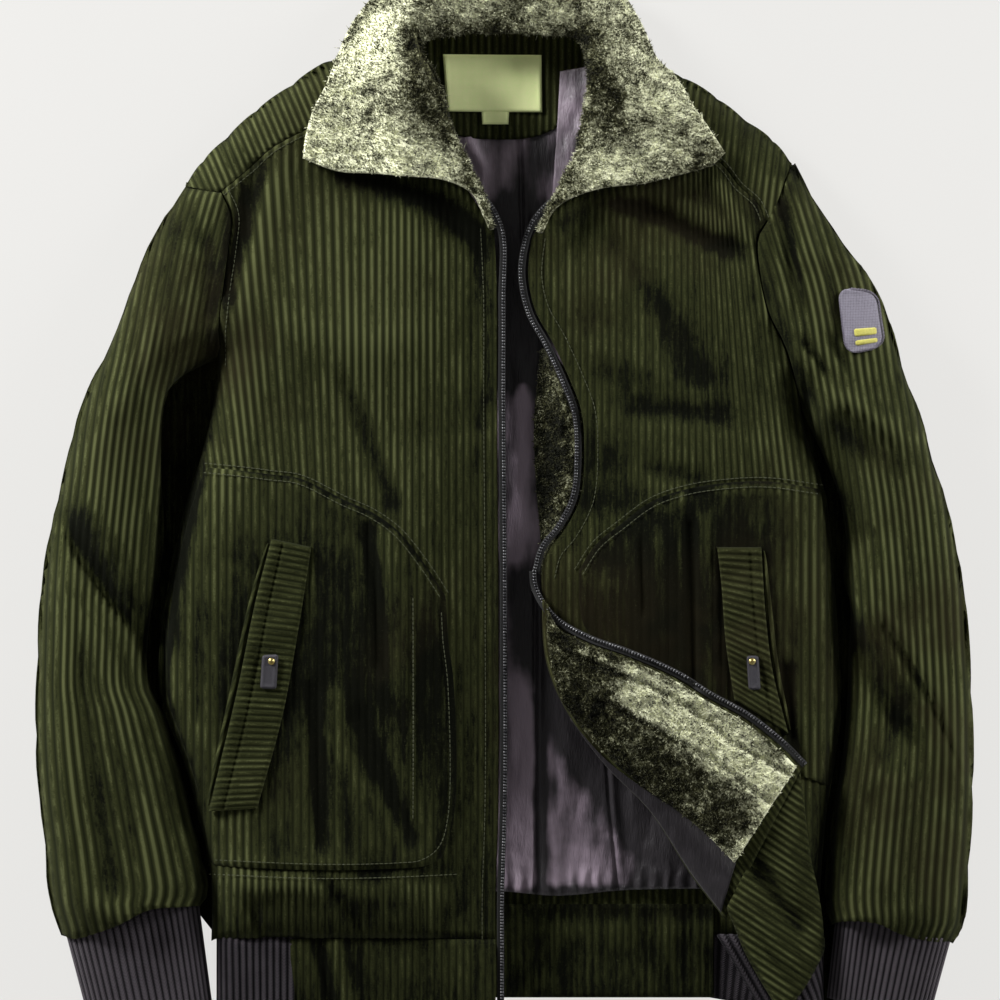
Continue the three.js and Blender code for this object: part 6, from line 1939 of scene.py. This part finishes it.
class MakeSleeves(Operator):
    """Cuts the sleeves, with the slack under the arms and the armhole seams"""
    bl_idname = "jacket.make_sleeves"
    bl_label = "Sleeves"

    def execute(self, context):
        make_sleeves()
        make_underarm_painted_shade()
        make_armholes()
        make_side_folds()
        return {"FINISHED"}


class MakePockets(Operator):
    """Lays on the curved lower panels and their welts"""
    bl_idname = "jacket.make_pockets"
    bl_label = "Pockets"

    def execute(self, context):
        make_pockets()
        make_welts()
        return {"FINISHED"}


class MakeTurnback(Operator):
    """Folds over the lower corner of the left front, with its lining"""
    bl_idname = "jacket.make_turnback"
    bl_label = "Turned corner"

    def execute(self, context):
        make_turnback()
        return {"FINISHED"}


class MakeCollar(Operator):
    """Spreads the plush collar"""
    bl_idname = "jacket.make_collar"
    bl_label = "Collar"

    def execute(self, context):
        make_collar()
        return {"FINISHED"}


class MakeFacings(Operator):
    """Lays the plush facings of the left front"""
    bl_idname = "jacket.make_facings"
    bl_label = "Plush facings"

    def execute(self, context):
        make_facings()
        return {"FINISHED"}


class MakeLining(Operator):
    """Lays the satin lining of the back"""
    bl_idname = "jacket.make_lining"
    bl_label = "Lining"

    def execute(self, context):
        make_lining()
        return {"FINISHED"}


class MakeNeck(Operator):
    """Sews in the back neck facing with its bare label"""
    bl_idname = "jacket.make_neck"
    bl_label = "Back neck"

    def execute(self, context):
        make_neck()
        return {"FINISHED"}


class MakeKnit(Operator):
    """Knits the cuffs and the side inserts"""
    bl_idname = "jacket.make_knit"
    bl_label = "Ribbed knit"

    def execute(self, context):
        make_knit()
        return {"FINISHED"}


class MakeWaistband(Operator):
    """Cuts the waistband"""
    bl_idname = "jacket.make_waistband"
    bl_label = "Waistband"

    def execute(self, context):
        make_waistband()
        return {"FINISHED"}


class MakeTrims(Operator):
    """Sews on the sleeve patch, the pocket tabs and their studs"""
    bl_idname = "jacket.make_trims"
    bl_label = "Patch and tabs"

    def execute(self, context):
        make_small_parts()
        return {"FINISHED"}


class MakeZip(Operator):
    """Sets the zip tapes with their teeth, and paints the slider"""
    bl_idname = "jacket.make_zip"
    bl_label = "Zip"

    def execute(self, context):
        make_zip()
        make_fittings()
        return {"FINISHED"}


class MakeStitching(Operator):
    """Runs the topstitching along the seams"""
    bl_idname = "jacket.make_stitching"
    bl_label = "Topstitching"

    def execute(self, context):
        make_stitching()
        return {"FINISHED"}


STEPS = (MakeStage, MakeBody, MakeSleeves, MakePockets, MakeTurnback, MakeCollar, MakeFacings, MakeLining, MakeNeck,
         MakeKnit, MakeWaistband, MakeTrims, MakeZip, MakeStitching)


class JacketPanel(Panel):
    """Lists the steps, the sizes and the colours"""
    bl_idname = "VIEW3D_PT_jacket"
    bl_label = "Corduroy jacket"
    bl_space_type = "VIEW_3D"
    bl_region_type = "UI"
    bl_category = "Jacket"

    def draw(self, context):
        for step in STEPS:
            self.layout.operator(step.bl_idname)
        for group in (context.scene.jacket_sizes, context.scene.jacket_colours):
            box = self.layout.box()
            for name in group.__annotations__:
                box.prop(group, name)


def register():
    for group in (JacketSizes, JacketColours, *STEPS, JacketPanel):
        bpy.utils.register_class(group)
    bpy.types.Scene.jacket_sizes = PointerProperty(type=JacketSizes)
    bpy.types.Scene.jacket_colours = PointerProperty(type=JacketColours)


def unregister():
    del bpy.types.Scene.jacket_colours
    del bpy.types.Scene.jacket_sizes
    for group in (JacketPanel, *STEPS[::-1], JacketColours, JacketSizes):
        bpy.utils.unregister_class(group)


def main():
    register()
    bpy.ops.jacket.make_stage()
    bpy.ops.jacket.make_body()
    bpy.ops.jacket.make_sleeves()
    bpy.ops.jacket.make_pockets()
    bpy.ops.jacket.make_turnback()
    bpy.ops.jacket.make_collar()
    bpy.ops.jacket.make_facings()
    bpy.ops.jacket.make_lining()
    bpy.ops.jacket.make_neck()
    bpy.ops.jacket.make_knit()
    bpy.ops.jacket.make_waistband()
    bpy.ops.jacket.make_trims()
    bpy.ops.jacket.make_zip()
    bpy.ops.jacket.make_stitching()


if __name__ == "__main__":
    main()
